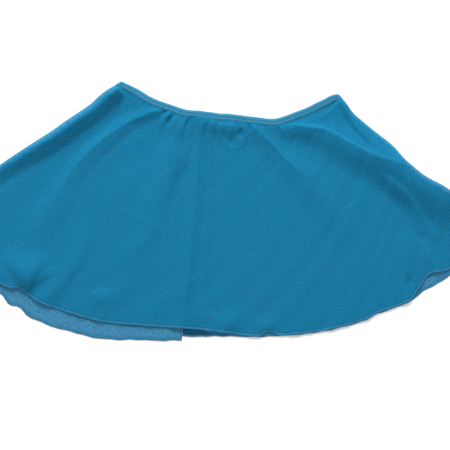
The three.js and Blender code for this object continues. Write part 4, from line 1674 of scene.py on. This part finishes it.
@dataclass
class Waistband:
    """One round of narrow elastic in a closely gathered casing, with two ribs and a stitched groove."""

    form: LaidForm
    finish: Casing = Casing()
    thread_finish: Overlock = Overlock(name="waistband_thread")
    length: float = 530.0
    thickness: float = 1.9
    rib_height: float = 0.3
    rib_width: float = 0.19
    rib_places: tuple[float, float] = (0.29, 0.71)
    gather_pitch: float = 3.1
    gather_height: float = 0.2
    across_steps: int = 430
    turn_steps: int = 12
    front_low: float = 2.6
    back_low: float = 0.08
    lowest: float = 0.04
    groove_point: int = 8
    groove: StitchRow = StitchRow(pitch=2.7, length=2.0, thickness=0.34, spacing=0.6)

    def section(self) -> tuple[np.ndarray, np.ndarray, np.ndarray]:
        """Give the casing's cross-section.

        Returns:
            For each point its share of the band's height outward, its lift as a share of half the
            thickness, and its share of a rib's height.
        """
        top = np.linspace(0, 1, 17)[1:-1]
        low = np.linspace(1, 0, 9)[1:-1]
        edge = np.sqrt(1 - np.abs(2 * top - 1) ** 5)
        low_edge = np.sqrt(1 - np.abs(2 * low - 1) ** 5)
        rib = sum(crest(top - place, self.rib_width, self.rib_width) for place in self.rib_places)
        outward = np.concatenate([[0.0], top, [1.0], low])
        lift = np.concatenate([[0.0], edge, [0.0], -low_edge])
        ribs = np.concatenate([[0.0], rib, [0.0], 0 * low])
        return outward, lift, ribs

    def stations(self) -> dict[str, np.ndarray]:
        """List the places round the band: over the front, round the right end, back, and round the left.

        Returns:
            Each station's share across, its bulge past the end, its level and its tilt.
        """
        half = self.thickness / 2
        high, low = self.front_low + half, self.back_low + half
        turn_radius = (high - low) / 2
        across = np.linspace(0, 1, self.across_steps)
        turns = np.linspace(0, 180, self.turn_steps + 2)[1:-1]
        bulge = turn_radius * np.sin(turns * DEGREE)
        down = low + turn_radius * (1 + np.cos(turns * DEGREE))
        ones = np.ones(self.turn_steps)
        return {
            "share": np.concatenate([across, ones, across[::-1], 0 * ones]),
            "bulge": np.concatenate([0 * across, bulge, 0 * across, -bulge]),
            "level": np.concatenate([high + 0 * across, down, low + 0 * across, down[::-1]]),
            "tilt": np.concatenate([0 * across, turns, 180 + 0 * across, 180 + turns]),
        }

    def gathers(self, count: int, seed: int) -> np.ndarray:
        """Make the uneven gathers along the casing.

        Args:
            count: How many places along the band.
            seed: Which set of gathers.

        Returns:
            A height from 0 to 1 at each place.
        """
        random = np.random.RandomState(seed)
        number = int(self.length / self.gather_pitch)
        centres = (np.arange(number) + 0.7 * random.rand(number)) / number
        sizes = 0.45 + 0.55 * random.rand(number)
        places = np.arange(count) / count
        total = np.zeros(count)
        for centre, size in zip(centres, sizes):
            offset = (places - centre + 0.5) % 1 - 0.5
            wide = (0.35 + 0.25 * size) / number
            total = np.maximum(total, size * crest(offset, wide, wide))
        return total

    def rings(self) -> np.ndarray:
        """Place the casing's cross-sections.

        Returns:
            Points in metres by station and place round the section.
        """
        form = self.form
        outward, lift, ribs = self.section()
        station = self.stations()
        count = len(station["share"])
        inset = (self.front_low + self.thickness) / 2 + 0.2
        gather = self.gathers(count, 31)[:, None]
        slip = self.gathers(count, 32)[:, None]
        share, bulge = station["share"][:, None], station["bulge"][:, None]
        tilt = station["tilt"][:, None] * DEGREE
        wavy = lerp(gather, slip, outward[None, :])
        spread = outward + (outward - 0.5) * 0.03 * (wavy - 0.5)
        angle, radius = place_between(
            lambda r: SIDES.left(r) + angle_of(inset, r),
            lambda r: SIDES.right(r) - angle_of(inset, r),
            share,
            lambda a: SECTION.waist(a) + spread * form.band_height,
        )
        half = self.thickness / 2
        relief = self.gather_height * (wavy - 0.35) * np.abs(lift)
        relief = relief + ribs * self.rib_height * (0.75 + 0.35 * wavy)
        out = half * lift + np.where(lift > 0, relief, 0.0)
        swell = bulge + out * np.sin(tilt)
        angle = angle + angle_of(swell, radius)
        level = station["level"][:, None] + out * np.cos(tilt)
        level = np.maximum(level, self.lowest)
        return form.placed(angle, SECTION.waist(angle) + spread * form.band_height, level)

    def build(self) -> list[bpy.types.Object]:
        """Make the casing and the stitches in its groove.

        Returns:
            The two pieces.
        """
        rings = self.rings()
        points, faces = bar(rings, True)
        casing = mesh_object("waistband_casing", points, faces[:, ::-1])
        dress(casing, self.finish.material(), Slot.BAND, "waistband")

        groove = rings[:, self.groove_point]
        up = unit(groove - rings.mean(axis=1))
        stitches = self.groove.build("waistband_stitches", groove, up)
        dress(stitches, self.thread_finish.material(), Slot.HEM)
        return [casing, stitches]


# The studio

@dataclass(frozen=True)
class Studio:
    """A plain pale floor, plain soft light and a camera straight above."""

    aim: tuple[float, float] = (0.0116, -0.0162)
    view_width: float = 0.5175
    lens: float = 135.0
    sensor: float = 36.0
    floor_size: float = 6.0
    floor: PaleFloor = PaleFloor()
    key_place: Place = (-0.25, 2.05, 1.05)
    key_size: tuple[float, float] = (1.6, 1.0)
    key_power: float = 96.0
    fill_place: Place = (0.4, -1.4, 2.4)
    fill_size: tuple[float, float] = (2.4, 2.4)
    fill_power: float = 8.0
    sky: float = 0.6

    def camera(self) -> None:
        """Make the camera, square over the floor."""
        data = bpy.data.cameras.new("camera")
        data.lens = self.lens
        data.sensor_width = self.sensor
        data.clip_end = 20.0
        camera = bpy.data.objects.new("camera", data)
        camera.location = (*self.aim, self.view_width * self.lens / self.sensor)
        bpy.context.scene.collection.objects.link(camera)
        bpy.context.scene.camera = camera

    def lamp(self, name: str, place: Place, size: tuple[float, float], power: float) -> None:
        """Hang a soft lamp that faces the skirt.

        Args:
            name: The lamp's name.
            place: Where it hangs, in metres.
            size: Its width and height, in metres.
            power: Its power in watts.
        """
        data = bpy.data.lights.new(name, "AREA")
        data.shape = "RECTANGLE"
        data.size, data.size_y = size
        data.energy = power
        lamp = bpy.data.objects.new(name, data)
        lamp.location = place
        gaze = Vector((*self.aim, 0.0)) - Vector(place)
        lamp.rotation_euler = gaze.to_track_quat("-Z", "Y").to_euler()
        bpy.context.scene.collection.objects.link(lamp)

    def build(self) -> None:
        """Lay the floor and hang the lights."""
        square = np.array([[-1, -1, 0], [1, -1, 0], [1, 1, 0], [-1, 1, 0]])
        corners = square * self.floor_size / 2
        floor = mesh_object("floor", corners, np.array([[0, 1, 2, 3]]), smooth=False)
        floor.data.materials.append(self.floor.material())
        floor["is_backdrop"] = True
        self.lamp("key_lamp", self.key_place, self.key_size, self.key_power)
        self.lamp("fill_lamp", self.fill_place, self.fill_size, self.fill_power)
        world = bpy.data.worlds.new("studio")
        world.use_nodes = True
        background = world.node_tree.nodes["Background"]
        background.inputs["Color"].default_value = (1.0, 1.0, 1.0, 1.0)
        background.inputs["Strength"].default_value = self.sky
        bpy.context.scene.world = world
        bpy.context.scene.view_settings.view_transform = "Standard"


def write_sizes() -> None:
    boxes = {"cad": CAD_BOX, "visual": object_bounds()}
    plain = {
        name: [[float(value) for value in corner] for corner in box] for name, box in boxes.items()
    }


def main() -> None:
    """Build the studio and the skirt, piece by piece."""
    logging.basicConfig(level=logging.INFO, format="%(message)s")
    studio = Studio()
    studio.camera()
    studio.build()
    form = LaidForm()
    cloth, sheet = SkirtCloth(form).build()
    hem = RolledHem(form).build(sheet)
    allowance = SeamAllowance(form).build()
    band = Waistband(form).build()
    write_sizes()


if __name__ == "__main__":
    main()
